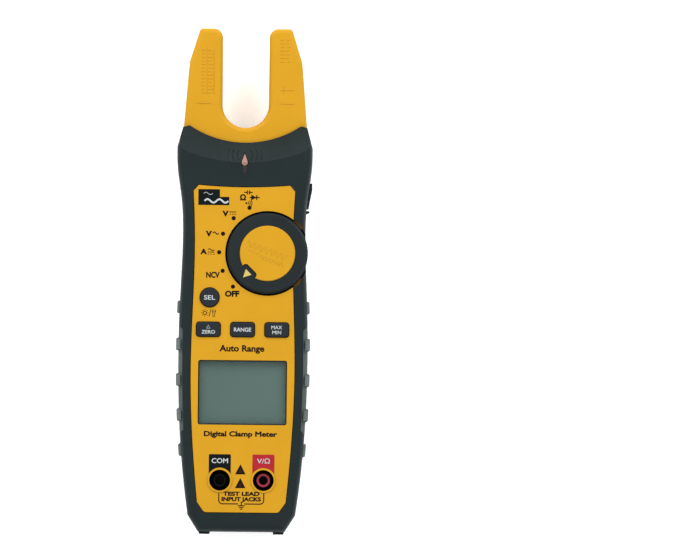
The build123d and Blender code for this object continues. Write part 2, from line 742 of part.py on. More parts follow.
def grip_solid():
    """Rubber strip with five cross ridges for the right-hand side."""
    with BuildPart() as grip:
        with BuildSketch(level(GRIP_Z[0])):
            add(body_band(0, -GRIP_THICKNESS))
            with Locations(at(HEAD_HALF_WIDTH, sum(GRIP_UP) / 2)):
                Rectangle(2 * HEAD_HALF_WIDTH, GRIP_UP[1] - GRIP_UP[0], mode=Mode.INTERSECT)
        extrude(amount=GRIP_Z[1] - GRIP_Z[0])
        with BuildSketch(level(GRIP_Z[0] + 2)) as ridges:
            add(body_band(RIDGE_HEIGHT, -0.5))
            with Locations(*[at(HEAD_HALF_WIDTH, distance) for distance in RIDGE_UPS]):
                Rectangle(HEAD_HALF_WIDTH, RIDGE_LENGTH, mode=Mode.INTERSECT)
            outer_corners = [row.sort_by(Axis.X)[-1] for row in ridges.vertices().group_by(Axis.Y)]
            fillet(outer_corners, 0.7)
        extrude(amount=GRIP_Z[1] - GRIP_Z[0] - 2)
        with BuildSketch(level(GRIP_Z[1])):
            add(body_band(RIDGE_HEIGHT - 0.1, -0.9))
            with Locations(*[at(HEAD_HALF_WIDTH, distance) for distance in RIDGE_UPS[1:-1]]):
                Rectangle(HEAD_HALF_WIDTH, RIDGE_LENGTH - 1, mode=Mode.INTERSECT)
        extrude(amount=1.2)
    return grip.part


with BuildPart() as right_grip:
    add(grip_solid())
right_grip.part.label = "right_grip"
export_step(right_grip.part, "parts/right_grip.step")

with BuildPart() as left_grip:
    add(mirror(grip_solid(), about=Plane.YZ, mode=Mode.PRIVATE))
left_grip.part.label = "left_grip"
export_step(left_grip.part, "parts/left_grip.step")

with BuildPart() as well_liner:
    with BuildSketch(level(LINER_Z[0])):
        add(well_crescent(WELL_RADIUS, LINER_RADIUS))
        add(scoop_outlines())
    extrude(amount=LINER_Z[1] - LINER_Z[0])
well_liner.part.label = "well_liner"
export_step(well_liner.part, "parts/well_liner.step")

# ---------------------------------------------------------------- fork and current sensor


def fork_posts(radius):
    """Screw posts inside the tongue, shared by both shells."""
    with BuildSketch() as posts:
        with side_rows(FORK_SCREWS):
            Circle(radius)
        with side_rows(UPPER_SCREWS):
            Circle(BOSS_RADIUS + 1.4)
    return posts.sketch


def fork_shell(outer_z, wall_z):
    """Half of the fork, open at the middle plane."""
    height = FORK_MID_Z - outer_z
    with BuildPart() as shell:
        with BuildSketch(level(outer_z)):
            add(fork_outline())
        extrude(amount=height)
        face = shell.faces().sort_by(lambda f: abs(f.center().Z - outer_z))[0]
        edges = face.edges().filter_by(lambda e: e.center().Y > up(FORK_FOOT_UP + 0.5))
        fillet(edges, FORK_ROUNDING)
        with BuildSketch(level(wall_z)):
            add(fork_outline(-FORK_WALL))
            add(fork_posts(2.6), mode=Mode.SUBTRACT)
        extrude(amount=FORK_MID_Z - wall_z, mode=Mode.SUBTRACT)
        with BuildSketch(level(outer_z)):
            with side_rows(UPPER_SCREWS):
                Circle(BOSS_RADIUS + 0.1)
        extrude(amount=height, mode=Mode.SUBTRACT)
        # raised alignment bars across each prong
        with BuildSketch(level(outer_z)):
            with Locations(at(-BAR_X, BAR_UP), at(BAR_X, BAR_UP)):
                Rectangle(*BAR_SIZE)
        extrude(amount=-BAR_HEIGHT if height > 0 else BAR_HEIGHT)
    return shell.part


with BuildPart() as fork_front_shell:
    add(fork_shell(FORK_Z[1], FORK_Z[1] - FORK_WALL))
    with BuildSketch(level(FORK_MID_Z)):
        with side_rows(FORK_SCREWS):
            Circle(1.05)
    extrude(amount=3.6, mode=Mode.SUBTRACT)
fork_front_shell.part.label = "fork_front_shell"
export_step(fork_front_shell.part, "parts/fork_front_shell.step")

with BuildPart() as fork_rear_shell:
    add(fork_shell(FORK_Z[0], FORK_Z[0] + FORK_WALL))
    with BuildSketch(level(FORK_Z[0])):
        with side_rows(FORK_SCREWS):
            Circle(1.15)
    extrude(amount=FORK_MID_Z - FORK_Z[0], mode=Mode.SUBTRACT)
    with BuildSketch(level(FORK_Z[0])):
        with side_rows(FORK_SCREWS):
            Circle(2.0)
    extrude(amount=1.6, mode=Mode.SUBTRACT)
fork_rear_shell.part.label = "fork_rear_shell"
export_step(fork_rear_shell.part, "parts/fork_rear_shell.step")

with BuildPart() as fork_screws:
    with BuildSketch(level(FORK_Z[0] + 0.1)):
        with side_rows(FORK_SCREWS):
            Circle(1.9)
    extrude(amount=1.5)
    with BuildSketch(level(FORK_Z[0] + 1.6)):
        with side_rows(FORK_SCREWS):
            Circle(1.0)
    extrude(amount=8.0)
fork_screws.part.label = "fork_screws"
export_step(fork_screws.part, "parts/fork_screws.step")

SLOT_CENTRE_UP = SLOT_BOTTOM_UP + SLOT_HALF
CORE_RADIUS = (CORE_X - CORE_WIDTH / 2, CORE_X + CORE_WIDTH / 2)

with BuildPart() as jaw_core:
    with BuildSketch(level(FORK_MID_Z - CORE_HEIGHT / 2)):
        with Locations(at(0, SLOT_CENTRE_UP)):
            Circle(CORE_RADIUS[1])
        with Locations(at(0, (SLOT_CENTRE_UP + CORE_TOP_UP) / 2)):
            Rectangle(2 * CORE_RADIUS[1], CORE_TOP_UP - SLOT_CENTRE_UP)
        with Locations(at(0, SLOT_CENTRE_UP)):
            Circle(CORE_RADIUS[0], mode=Mode.SUBTRACT)
        with Locations(at(0, (SLOT_CENTRE_UP + LENGTH) / 2)):
            Rectangle(2 * CORE_RADIUS[0], LENGTH - SLOT_CENTRE_UP, mode=Mode.SUBTRACT)
        with Locations(at(0, CORE_TOP_UP + 10)):
            Rectangle(3 * CORE_RADIUS[1], 20, mode=Mode.SUBTRACT)
    extrude(amount=CORE_HEIGHT)
jaw_core.part.label = "jaw_core"
export_step(jaw_core.part, "parts/jaw_core.step")


def bobbin_solid(x):
    """Coil former round one limb of the core, with a flange at each end."""
    limb = (CORE_WIDTH + 0.1, CORE_HEIGHT + 0.1)
    with BuildPart() as bobbin:
        with BuildSketch(Plane.XZ.offset(-up(COIL_UP[0]))):
            with Locations((x, FORK_MID_Z)):
                Rectangle(limb[0] + 1.2, limb[1] + 1.2)
        extrude(amount=COIL_UP[0] - COIL_UP[1])
        for flange_up in (COIL_UP[0] + 0.8, COIL_UP[1]):
            with BuildSketch(Plane.XZ.offset(-up(flange_up))):
                with Locations((x, FORK_MID_Z)):
                    Rectangle(*COIL_SECTION)
            extrude(amount=0.8)
        with BuildSketch(Plane.XZ.offset(-up(COIL_UP[0]))):
            with Locations((x, FORK_MID_Z)):
                Rectangle(*limb)
        extrude(amount=COIL_UP[0] - COIL_UP[1], mode=Mode.SUBTRACT)
    return bobbin.part


def coil_solid(x):
    """Copper winding that fills the bobbin between its flanges."""
    with BuildPart() as coil:
        with BuildSketch(Plane.XZ.offset(-up(COIL_UP[0] + 0.85))):
            with Locations((x, FORK_MID_Z)):
                RectangleRounded(COIL_SECTION[0] - 0.5, COIL_SECTION[1] - 0.5, 0.8)
                Rectangle(CORE_WIDTH + 1.4, CORE_HEIGHT + 1.4, mode=Mode.SUBTRACT)
        extrude(amount=COIL_UP[0] - COIL_UP[1] + 1.7)
    return coil.part


with BuildPart() as coil_bobbins:
    for x in (-CORE_X, CORE_X):
        add(bobbin_solid(x))
coil_bobbins.part.label = "coil_bobbins"
export_step(coil_bobbins.part, "parts/coil_bobbins.step")

with BuildPart() as sensor_coils:
    for x in (-CORE_X, CORE_X):
        add(coil_solid(x))
sensor_coils.part.label = "sensor_coils"
export_step(sensor_coils.part, "parts/sensor_coils.step")

with BuildPart() as sensor_flex:
    with BuildSketch(level(FORK_Z[0] + FORK_WALL + 0.05)):
        add(fork_outline(-FORK_WALL - 0.6))
        add(fork_posts(3.0), mode=Mode.SUBTRACT)
    extrude(amount=0.4)
sensor_flex.part.label = "sensor_flex"
export_step(sensor_flex.part, "parts/sensor_flex.step")

with BuildPart() as hall_sensors:
    with BuildSketch(level(FORK_Z[0] + FORK_WALL + 0.45)):
        with Locations(at(-CORE_X, HALL_UP), at(CORE_X, HALL_UP)):
            Rectangle(*HALL_SIZE)
    extrude(amount=5.4)
hall_sensors.part.label = "hall_sensors"
export_step(hall_sensors.part, "parts/hall_sensors.step")

# ---------------------------------------------------------------- rotary switch

with BuildPart() as selector_knob:
    with BuildSketch(Plane.XZ.offset(-KNOB[1])):
        with BuildLine():
            Polyline(
                (KNOB_X, KNOB_BOTTOM_Z),
                (KNOB_X + KNOB_RADIUS - 0.5, KNOB_BOTTOM_Z),
                (KNOB_X + KNOB_RADIUS, KNOB_BOTTOM_Z + 0.5),
                (KNOB_X + KNOB_RADIUS, KNOB_TOP_Z - 0.9),
                (KNOB_X + KNOB_TOP_RADIUS, KNOB_TOP_Z),
                (KNOB_X + CAP_RADIUS + 0.05, KNOB_TOP_Z),
                (KNOB_X + CAP_RADIUS + 0.05, CAP_Z[0]),
                (KNOB_X, CAP_Z[0]),
                close=True,
            )
        make_face()
    revolve(axis=Axis((*KNOB, 0), (0, 0, 1)))
    with BuildSketch(level(KNOB_BOTTOM_Z)):
        with Locations(KNOB):
            with PolarLocations(KNOB_RADIUS + 0.5, KNOB_FLUTES):
                Circle(FLUTE_RADIUS)
    extrude(amount=KNOB_RIM_Z - KNOB_BOTTOM_Z - 0.4, mode=Mode.SUBTRACT)
    with BuildSketch(level(CAP_Z[0])):
        add(pointer_tab(0))
    extrude(amount=KNOB_TOP_Z - CAP_Z[0])
    with BuildSketch(level(KNOB_TOP_Z - 0.6)):
        add(pointer_mark())
    extrude(amount=0.6, mode=Mode.SUBTRACT)
    with BuildSketch(level(ROTOR_Z[0])):
        with Locations(KNOB):
            Circle(SHAFT_RADIUS)
    extrude(amount=KNOB_BOTTOM_Z - ROTOR_Z[0])
selector_knob.part.label = "selector_knob"
export_step(selector_knob.part, "parts/selector_knob.step")

with BuildPart() as knob_cap:
    with BuildSketch(level(CAP_Z[0])):
        with Locations(KNOB):
            Circle(CAP_RADIUS)
        add(pointer_tab(0.1), mode=Mode.SUBTRACT)
    extrude(amount=CAP_Z[1] - CAP_Z[0])
    chamfer(knob_cap.faces().sort_by(Axis.Z)[-1].edges().sort_by(SortBy.LENGTH)[-1], 0.35)
knob_cap.part.label = "knob_cap"
export_step(knob_cap.part, "parts/knob_cap.step")

with BuildPart() as knob_pointer:
    with BuildSketch(level(KNOB_TOP_Z - 0.6)):
        add(pointer_mark())
    extrude(amount=0.6)
knob_pointer.part.label = "knob_pointer"
export_step(knob_pointer.part, "parts/knob_pointer.step")

with BuildPart() as knob_seal:
    with BuildSketch(level(WELL_FLOOR_Z - SEAL_DEPTH)):
        with Locations(KNOB):
            Circle(SEAL_RADIUS - 0.05)
            Circle(SHAFT_RADIUS + 0.1, mode=Mode.SUBTRACT)
    extrude(amount=SEAL_DEPTH - 0.05)
knob_seal.part.label = "knob_seal"
export_step(knob_seal.part, "parts/knob_seal.step")

with BuildPart() as detent_ring:
    with BuildSketch(level(WELL_FLOOR_Z - FACE_WALL - DETENT_HEIGHT)):
        with Locations(KNOB):
            Circle(DETENT_RADIUS[1])
            Circle(DETENT_RADIUS[0], mode=Mode.SUBTRACT)
            with PolarLocations(DETENT_RADIUS[0], round(360 / DETENT_STEP), start_angle=DETENT_STEP / 2):
                Circle(DETENT_NOTCH, mode=Mode.SUBTRACT)
    extrude(amount=DETENT_HEIGHT)
detent_ring.part.label = "detent_ring"
export_step(detent_ring.part, "parts/detent_ring.step")

with BuildPart() as contact_rotor:
    with BuildSketch(level(ROTOR_Z[0])):
        with Locations(KNOB):
            Circle(ROTOR_RADIUS[1])
            Circle(SHAFT_RADIUS, mode=Mode.SUBTRACT)
    extrude(amount=ROTOR_Z[1] - ROTOR_Z[0])
    with BuildSketch(level(ROTOR_Z[1])):
        with Locations(KNOB):
            Circle(ROTOR_RADIUS[0])
            Circle(SHAFT_RADIUS, mode=Mode.SUBTRACT)
    extrude(amount=HUB_HEIGHT)
contact_rotor.part.label = "contact_rotor"
export_step(contact_rotor.part, "parts/contact_rotor.step")

with BuildPart() as rotor_wipers:
    with BuildSketch(level(BOARD_Z[1] + 0.05)):
        with Locations(KNOB):
            with PolarLocations(WIPER_REACH, 3, start_angle=POINTER_ANGLE):
                Rectangle(*WIPER_SIZE)
    extrude(amount=ROTOR_Z[0] - BOARD_Z[1] - 0.05)
rotor_wipers.part.label = "rotor_wipers"
export_step(rotor_wipers.part, "parts/rotor_wipers.step")

with BuildPart() as detent_spring:
    with BuildSketch(level(ROTOR_Z[1])):
        with Locations(KNOB):
            Circle(SPRING_RADIUS[1])
            Circle(SPRING_RADIUS[0], mode=Mode.SUBTRACT)
            with PolarLocations(sum(SPRING_RADIUS) / 2, 2, start_angle=POINTER_ANGLE):
                Circle(SPRING_BALL_RADIUS)
    extrude(amount=HUB_HEIGHT)
detent_spring.part.label = "detent_spring"
export_step(detent_spring.part, "parts/detent_spring.step")

# ---------------------------------------------------------------- push buttons


def key_solid(cap_outline, flange_outline):
    """Button cap with a flange that the front wall holds in."""
    with BuildPart() as key:
        with BuildSketch(level(KEY_FLANGE_Z[0])):
            add(flange_outline)
        extrude(amount=KEY_FLANGE_Z[1] - KEY_FLANGE_Z[0])
        with BuildSketch(level(KEY_FLANGE_Z[1])):
            add(cap_outline)
        extrude(amount=KEY_TOP_Z - KEY_FLANGE_Z[1])
        fillet(key.faces().sort_by(Axis.Z)[-1].edges(), 0.5)
    return key.part


def rectangular_key(x, grow):
    """Cap outline of one of the three keys in the row."""
    with BuildSketch() as outline:
        with Locations(at(x, KEY_UP)):
            RectangleRounded(KEY_SIZE[0] + 2 * grow, KEY_SIZE[1] + 2 * grow, KEY_CORNER + grow)
    return outline.sketch


def round_key(grow):
    """Cap outline of the round select key."""
    with BuildSketch() as outline:
        with Locations(at(SELECT_X, SELECT_UP)):
            Circle(SELECT_RADIUS + grow)
    return outline.sketch


with BuildPart() as select_button:
    add(key_solid(round_key(0), round_key(KEY_FLANGE)))
select_button.part.label = "select_button"
export_step(select_button.part, "parts/select_button.step")

with BuildPart() as zero_button:
    add(key_solid(rectangular_key(KEY_X[0], 0), rectangular_key(KEY_X[0], KEY_FLANGE)))
zero_button.part.label = "zero_button"
export_step(zero_button.part, "parts/zero_button.step")

with BuildPart() as range_button:
    add(key_solid(rectangular_key(KEY_X[1], 0), rectangular_key(KEY_X[1], KEY_FLANGE)))
range_button.part.label = "range_button"
export_step(range_button.part, "parts/range_button.step")

with BuildPart() as maxmin_button:
    add(key_solid(rectangular_key(KEY_X[2], 0), rectangular_key(KEY_X[2], KEY_FLANGE)))
maxmin_button.part.label = "maxmin_button"
export_step(maxmin_button.part, "parts/maxmin_button.step")

with BuildPart() as keypad_mat:
    with BuildSketch(level(MAT_Z[0])):
        with Locations(at(0, KEY_UP)):
            RectangleRounded(*MAT_SIZE, 1.5)
        with Locations(at(SELECT_X, (SELECT_UP + KEY_UP) / 2 + 2)):
            RectangleRounded(MAT_LOBE, SELECT_UP - KEY_UP + 8, 1.5)
    extrude(amount=MAT_Z[1] - MAT_Z[0])
    with BuildSketch(level(MAT_Z[1])):
        with Locations(*KEY_SPOTS):
            Circle(MAT_DOME_RADIUS)
    extrude(amount=KEY_FLANGE_Z[0] - KEY_TRAVEL - 0.1 - MAT_Z[1], taper=8)
keypad_mat.part.label = "keypad_mat"
export_step(keypad_mat.part, "parts/keypad_mat.step")

with BuildPart() as key_contacts:
    with BuildSketch(level(BOARD_Z[1])):
        with Locations(*KEY_SPOTS):
            Circle(KEY_CONTACT_RADIUS)
    extrude(amount=0.3)
key_contacts.part.label = "key_contacts"
export_step(key_contacts.part, "parts/key_contacts.step")

with BuildPart() as hold_button:
    with BuildSketch(Plane.YZ.offset(HOLD_FLANGE_X[0])):
        with Locations((up(HOLD_UP), HOLD_Z)):
            RectangleRounded(HOLD_SIZE[0] + 2, HOLD_SIZE[1] + 2, KEY_CORNER + 1)
    extrude(amount=HOLD_FLANGE_X[1] - HOLD_FLANGE_X[0])
    with BuildSketch(level(HOLD_Z - HOLD_SIZE[1] / 2)):
        with BuildLine():
            Polyline(
                at(HOLD_FLANGE_X[1], HOLD_UP - HOLD_SIZE[0] / 2),
                *[at(x, distance) for x, distance in HOLD_TOP],
                at(HOLD_FLANGE_X[1], HOLD_UP + HOLD_SIZE[0] / 2),
                close=True,
            )
        make_face()
    extrude(amount=HOLD_SIZE[1])
    long_edges = hold_button.edges().filter_by(lambda e: e.center().X > HOLD_TOP[0][0] + 0.5)
    chamfer(long_edges.filter_by(Axis.Z, reverse=True), 0.6)
hold_button.part.label = "hold_button"
export_step(hold_button.part, "parts/hold_button.step")

with BuildPart() as hold_switch:
    plunger_x = HOLD_FLANGE_X[0] - KEY_TRAVEL - 1.2
    with BuildSketch(Plane.YZ.offset(plunger_x - HOLD_SWITCH[0])):
        with Locations((up(HOLD_UP), HOLD_Z)):
            Rectangle(*HOLD_SWITCH[1:])
    extrude(amount=HOLD_SWITCH[0])
    with BuildSketch(Plane.YZ.offset(plunger_x)):
        with Locations((up(HOLD_UP), HOLD_Z)):
            Circle(HOLD_PLUNGER_RADIUS)
    extrude(amount=1.0)
hold_switch.part.label = "hold_switch"
export_step(hold_switch.part, "parts/hold_switch.step")

# ---------------------------------------------------------------- displays

with BuildPart() as display_window:
    with BuildSketch(level(PANEL_Z[0])):
        with Locations(at(0, WINDOW_UP)):
            RectangleRounded(WINDOW_SIZE[0] - 0.2, WINDOW_SIZE[1] - 0.2, 0.9)
    extrude(amount=0.9)
display_window.part.label = "display_window"
export_step(display_window.part, "parts/display_window.step")

with BuildPart() as display_panel:
    with BuildSketch(level(LCD_Z[0])):
        with Locations(at(0, WINDOW_UP)):
            Rectangle(*LCD_SIZE)
    extrude(amount=LCD_Z[1] - LCD_Z[0])
display_panel.part.label = "display_panel"
export_step(display_panel.part, "parts/display_panel.step")

with BuildPart() as display_backlight:
    with BuildSketch(level(BACKLIGHT_Z[0])):
        with Locations(at(0, WINDOW_UP)):
            Rectangle(LCD_SIZE[0], LCD_SIZE[1] - 5)
    extrude(amount=BACKLIGHT_Z[1] - BACKLIGHT_Z[0])
display_backlight.part.label = "display_backlight"
export_step(display_backlight.part, "parts/display_backlight.step")

with BuildPart() as display_connectors:
    with BuildSketch(level(BOARD_Z[1])):
        with Locations(at(0, WINDOW_UP)):
            with GridLocations(0, LCD_SIZE[1] - 2.5, 1, 2):
                Rectangle(LCD_SIZE[0] - 2, 1.8)
    extrude(amount=LCD_Z[0] - BOARD_Z[1])
display_connectors.part.label = "display_connectors"
export_step(display_connectors.part, "parts/display_connectors.step")

with BuildPart() as display_frame:
    with BuildSketch(level(BOARD_Z[1])):
        with Locations(at(0, WINDOW_UP)):
            RectangleRounded(LCD_SIZE[0] + 4, LCD_SIZE[1] + 4, 1.5)
            Rectangle(LCD_SIZE[0] + 0.2, LCD_SIZE[1] + 0.2, mode=Mode.SUBTRACT)
    extrude(amount=LCD_Z[1] - BOARD_Z[1])
display_frame.part.label = "display_frame"
export_step(display_frame.part, "parts/display_frame.step")


def end_plate(start_up, thickness, width, height, corner, z=END_WINDOW_Z):
    """Upright plate behind the end face."""
    with BuildPart() as plate:
        with BuildSketch(Plane.XZ.offset(-up(start_up))):
            with Locations((0, z)):
                RectangleRounded(width, height, corner)
        extrude(amount=-thickness)
    return plate.part


with BuildPart() as end_window:
    add(end_plate(END_FACE_UP + 0.2, 1.0, END_WINDOW_SIZE[0] - 0.2, END_WINDOW_SIZE[1] - 0.2, 1.7))
end_window.part.label = "end_window"
export_step(end_window.part, "parts/end_window.step")

with BuildPart() as end_display_panel:
    add(end_plate(END_STACK_UP, 1.6, 23.0, 14.8, 0.3))
end_display_panel.part.label = "end_display_panel"
export_step(end_display_panel.part, "parts/end_display_panel.step")

with BuildPart() as end_backlight:
    add(end_plate(END_STACK_UP + 1.7, 1.8, 22.0, 13.0, 0.3))
end_backlight.part.label = "end_backlight"
export_step(end_backlight.part, "parts/end_backlight.step")

with BuildPart() as end_display_board:
    add(end_plate(END_STACK_UP + 3.6, 1.2, 24.0, 11.6, 0.3, z=18.8))
end_display_board.part.label = "end_display_board"
export_step(end_display_board.part, "parts/end_display_board.step")

# ---------------------------------------------------------------- circuit board

with BuildPart() as main_board:
    with BuildSketch(level(BOARD_Z[0])):
        add(body_slice(-BOARD_INSET, BOARD_UP[0], BOARD_UP[1]))
        with Locations(at(0, (BOARD_UP[1] + LED_UP) / 2)):
            Rectangle(7.0, LED_UP - BOARD_UP[1] + 4)
        with Locations(KNOB):
            Circle(SHAFT_RADIUS + 1, mode=Mode.SUBTRACT)
        with jack_spots():
            Circle(JACK_SLEEVE_RADIUS + 0.1, mode=Mode.SUBTRACT)
        with side_rows(LOWER_SCREWS):
            Circle(BOSS_RADIUS + 0.4, mode=Mode.SUBTRACT)
        with side_rows(BOARD_SCREWS):
            Circle(1.1, mode=Mode.SUBTRACT)
    extrude(amount=BOARD_Z[1] - BOARD_Z[0])
main_board.part.label = "main_board"
export_step(main_board.part, "parts/main_board.step")

with BuildPart() as board_screws:
    with BuildSketch(level(BOARD_Z[0] - 1.3)):
        with side_rows(BOARD_SCREWS):
            Circle(1.8)
    extrude(amount=1.3)
    with BuildSketch(level(BOARD_Z[0])):
        with side_rows(BOARD_SCREWS):
            Circle(0.85)
    extrude(amount=5.0)
board_screws.part.label = "board_screws"
export_step(board_screws.part, "parts/board_screws.step")

with BuildPart() as board_components:
    with BuildSketch(level(BOARD_Z[0] - 1.6)):
        for x, distance, width, length in BOARD_CHIPS:
            with Locations(at(x, distance)):
                Rectangle(width, length)
    extrude(amount=1.6)
    with BuildSketch(level(BOARD_Z[0] - 5.0)):
        with Locations(*[at(x, distance) for x, distance in BOARD_CAPACITORS]):
            Circle(2.5)
    extrude(amount=5.0)
board_components.part.label = "board_components"
export_step(board_components.part, "parts/board_components.step")

with BuildPart() as buzzer:
    with BuildSketch(level(BOARD_Z[0] - BUZZER_HEIGHT)):
        with Locations(at(*BUZZER_SPOT)):
            Circle(BUZZER_RADIUS)
            Circle(1.0, mode=Mode.SUBTRACT)
    extrude(amount=BUZZER_HEIGHT)
buzzer.part.label = "buzzer"
export_step(buzzer.part, "parts/buzzer.step")

with BuildPart() as ncv_lens:
    with BuildSketch(level(LENS_Z[0])):
        add(lens_outline(-0.05))
    extrude(amount=LENS_Z[1] - LENS_Z[0])
    add(collar_space(), mode=Mode.SUBTRACT)
ncv_lens.part.label = "ncv_lens"
export_step(ncv_lens.part, "parts/ncv_lens.step")

with BuildPart() as ncv_led:
    with BuildSketch(level(BOARD_Z[1])):
        with Locations(at(0, LED_UP)):
            Circle(LED_RADIUS)
    extrude(amount=LENS_Z[0] - BOARD_Z[1] - 0.2)
ncv_led.part.label = "ncv_led"
export_step(ncv_led.part, "parts/ncv_led.step")

with BuildPart() as torch_lens:
    with BuildSketch(Plane.XZ.offset(-up(TORCH_UP[0]))):
        with Locations((0, TORCH_Z)):
            Circle(TORCH_RADIUS - 0.05)
    extrude(amount=TORCH_UP[0] - TORCH_UP[1])
    fillet(torch_lens.faces().sort_by(Axis.Y)[-1].edges(), 1.2)
torch_lens.part.label = "torch_lens"
export_step(torch_lens.part, "parts/torch_lens.step")

with BuildPart() as torch_led:
    with BuildSketch(Plane.XZ.offset(-up(TORCH_UP[0] - 4.2))):
        with Locations((0, TORCH_Z)):
            Circle(1.5)
    extrude(amount=-4.0)
torch_led.part.label = "torch_led"
export_step(torch_led.part, "parts/torch_led.step")

# ---------------------------------------------------------------- input jacks


with BuildPart() as jack_sleeves:
    with BuildSketch(level(JACK_FLOOR_Z - JACK_FLOOR)):
        with jack_spots():
            Circle(JACK_SLEEVE_RADIUS)
            Circle(JACK_CONTACT_RADIUS, mode=Mode.SUBTRACT)
    extrude(amount=JACK_FLOOR)
    with BuildSketch(level(JACK_FLOOR_Z)):
        with jack_spots():
            Circle(JACK_SLEEVE_RADIUS)
            Circle(JACK_SHROUD_RADIUS, mode=Mode.SUBTRACT)
    extrude(amount=PANEL_Z[0] - JACK_FLOOR_Z)
jack_sleeves.part.label = "jack_sleeves"
export_step(jack_sleeves.part, "parts/jack_sleeves.step")


def jack_insert(x):
    """Coloured insulating post round the contact, with a narrower mouth."""
    with BuildPart() as insert:
        with BuildSketch(level(JACK_FLOOR_Z)):
            with Locations(at(x, JACK_UP)):
                Circle(JACK_INSERT_RADIUS)
                Circle(JACK_CONTACT_RADIUS, mode=Mode.SUBTRACT)
        extrude(amount=JACK_TOP_Z - JACK_FLOOR_Z)
        with BuildSketch(level(JACK_TOP_Z)):
            with Locations(at(x, JACK_UP)):
                Circle(JACK_INSERT_RADIUS)
                Circle(JACK_BORE_RADIUS, mode=Mode.SUBTRACT)
        extrude(amount=JACK_MOUTH)
    return insert.part


with BuildPart() as com_insert:
    add(jack_insert(-JACK_X))
com_insert.part.label = "com_insert"
export_step(com_insert.part, "parts/com_insert.step")

with BuildPart() as volt_insert:
    add(jack_insert(JACK_X))
volt_insert.part.label = "volt_insert"
export_step(volt_insert.part, "parts/volt_insert.step")

with BuildPart() as jack_contacts:
    with BuildSketch(level(JACK_FLOOR_Z - JACK_FLOOR)):
        with jack_spots():
            Circle(JACK_CONTACT_RADIUS)
    extrude(amount=JACK_TOP_Z - JACK_FLOOR_Z + JACK_FLOOR)
    with BuildSketch(level(JACK_FLOOR_Z - 1.0)):
        with jack_spots():
            Circle(JACK_BORE_RADIUS)
    extrude(amount=JACK_TOP_Z - JACK_FLOOR_Z + 1.0, mode=Mode.SUBTRACT)
jack_contacts.part.label = "jack_contacts"
export_step(jack_contacts.part, "parts/jack_contacts.step")

# ---------------------------------------------------------------- batteries and back

with BuildPart() as battery_tray:
    with BuildSketch(level(TRAY_Z[0])):
        with Locations(at(0, BAY_UP)):
            Rectangle(*TRAY_SIZE)
    extrude(amount=TRAY_Z[1] - TRAY_Z[0])
    with BuildSketch(level(TRAY_Z[0])):
        with Locations(at(0, BAY_UP)):
            Rectangle(TRAY_SIZE[0] - 2 * TRAY_WALL, TRAY_SIZE[1] - 2 * TRAY_WALL)
    extrude(amount=TRAY_Z[1] - TRAY_Z[0] - TRAY_WALL, mode=Mode.SUBTRACT)
battery_tray.part.label = "battery_tray"
export_step(battery_tray.part, "parts/battery_tray.step")

with BuildPart() as batteries:
    for x, nub_side in ((-CELL_X, 1), (CELL_X, -1)):
        with BuildSketch(Plane.XZ.offset(-up(BAY_UP - CELL_LENGTH / 2 + 0.4))):
            with Locations((x, CELL_Z)):
                Circle(CELL_RADIUS)
        extrude(amount=-(CELL_LENGTH - 0.8))
        with BuildSketch(Plane.XZ.offset(-up(BAY_UP + nub_side * (CELL_LENGTH / 2 - 0.4)))):
            with Locations((x, CELL_Z)):
                Circle(1.9)
        extrude(amount=-nub_side * 0.8)
batteries.part.label = "batteries"
export_step(batteries.part, "parts/batteries.step")

with BuildPart() as battery_contacts:
    for side in (-1, 1):
        with BuildSketch(Plane.XZ.offset(-up(BAY_UP + side * (TRAY_SIZE[1] / 2 - TRAY_WALL)))):
            with Locations((-CELL_X, CELL_Z), (CELL_X, CELL_Z)):
                Rectangle(8.5, 8.0)
        extrude(amount=side * 0.4)
battery_contacts.part.label = "battery_contacts"
export_step(battery_contacts.part, "parts/battery_contacts.step")

with BuildPart() as battery_springs:
    for x, side in ((-CELL_X, -1), (CELL_X, 1)):
        contact_up = BAY_UP + side * (TRAY_SIZE[1] / 2 - TRAY_WALL - 0.4)
        gap = TRAY_SIZE[1] / 2 - TRAY_WALL - 0.4 - CELL_LENGTH / 2 + 0.4
        with BuildSketch(Plane.XZ.offset(-up(contact_up))):
            with Locations((x, CELL_Z)):
                Circle(3.4)
                Circle(2.6, mode=Mode.SUBTRACT)
        extrude(amount=side * gap, taper=14)
battery_springs.part.label = "battery_springs"
export_step(battery_springs.part, "parts/battery_springs.step")

with BuildPart() as battery_door:
    with BuildSketch(level(0)):
        with Locations(at(0, DOOR_UP)):
            RectangleRounded(*DOOR_SIZE, 3)
    extrude(amount=DOOR_THICKNESS)
    chamfer(battery_door.faces().sort_by(Axis.Z)[0].edges(), 0.4)
    with BuildSketch(level(DOOR_THICKNESS)):
        with Locations(at(0, BAY_UP)):
            Rectangle(TRAY_SIZE[0] - 2 * TRAY_WALL - 0.4, TRAY_SIZE[1] - 2 * TRAY_WALL - 0.4)
            Rectangle(TRAY_SIZE[0] - 2 * TRAY_WALL - 3, TRAY_SIZE[1] - 2 * TRAY_WALL - 3, mode=Mode.SUBTRACT)
    extrude(amount=BACK_WALL - DOOR_THICKNESS - 0.2)
    with BuildSketch(level(0)):
        with Locations(at(0, DOOR_UP + DOOR_SIZE[1] / 2 - 8)):
            with GridLocations(0, 2.4, 1, 4):
                Rectangle(16, 1.0)
    extrude(amount=0.5, mode=Mode.SUBTRACT)
    with Locations((*at(0, DOOR_SCREW_UP), 0)):
        Hole(SCREW_RADIUS + 0.15)
    with BuildSketch(level(0)):
        with Locations(at(0, DOOR_SCREW_UP)):
            Circle(SCREW_HEAD_RADIUS)
    extrude(amount=0.9, mode=Mode.SUBTRACT)
battery_door.part.label = "battery_door"
export_step(battery_door.part, "parts/battery_door.step")

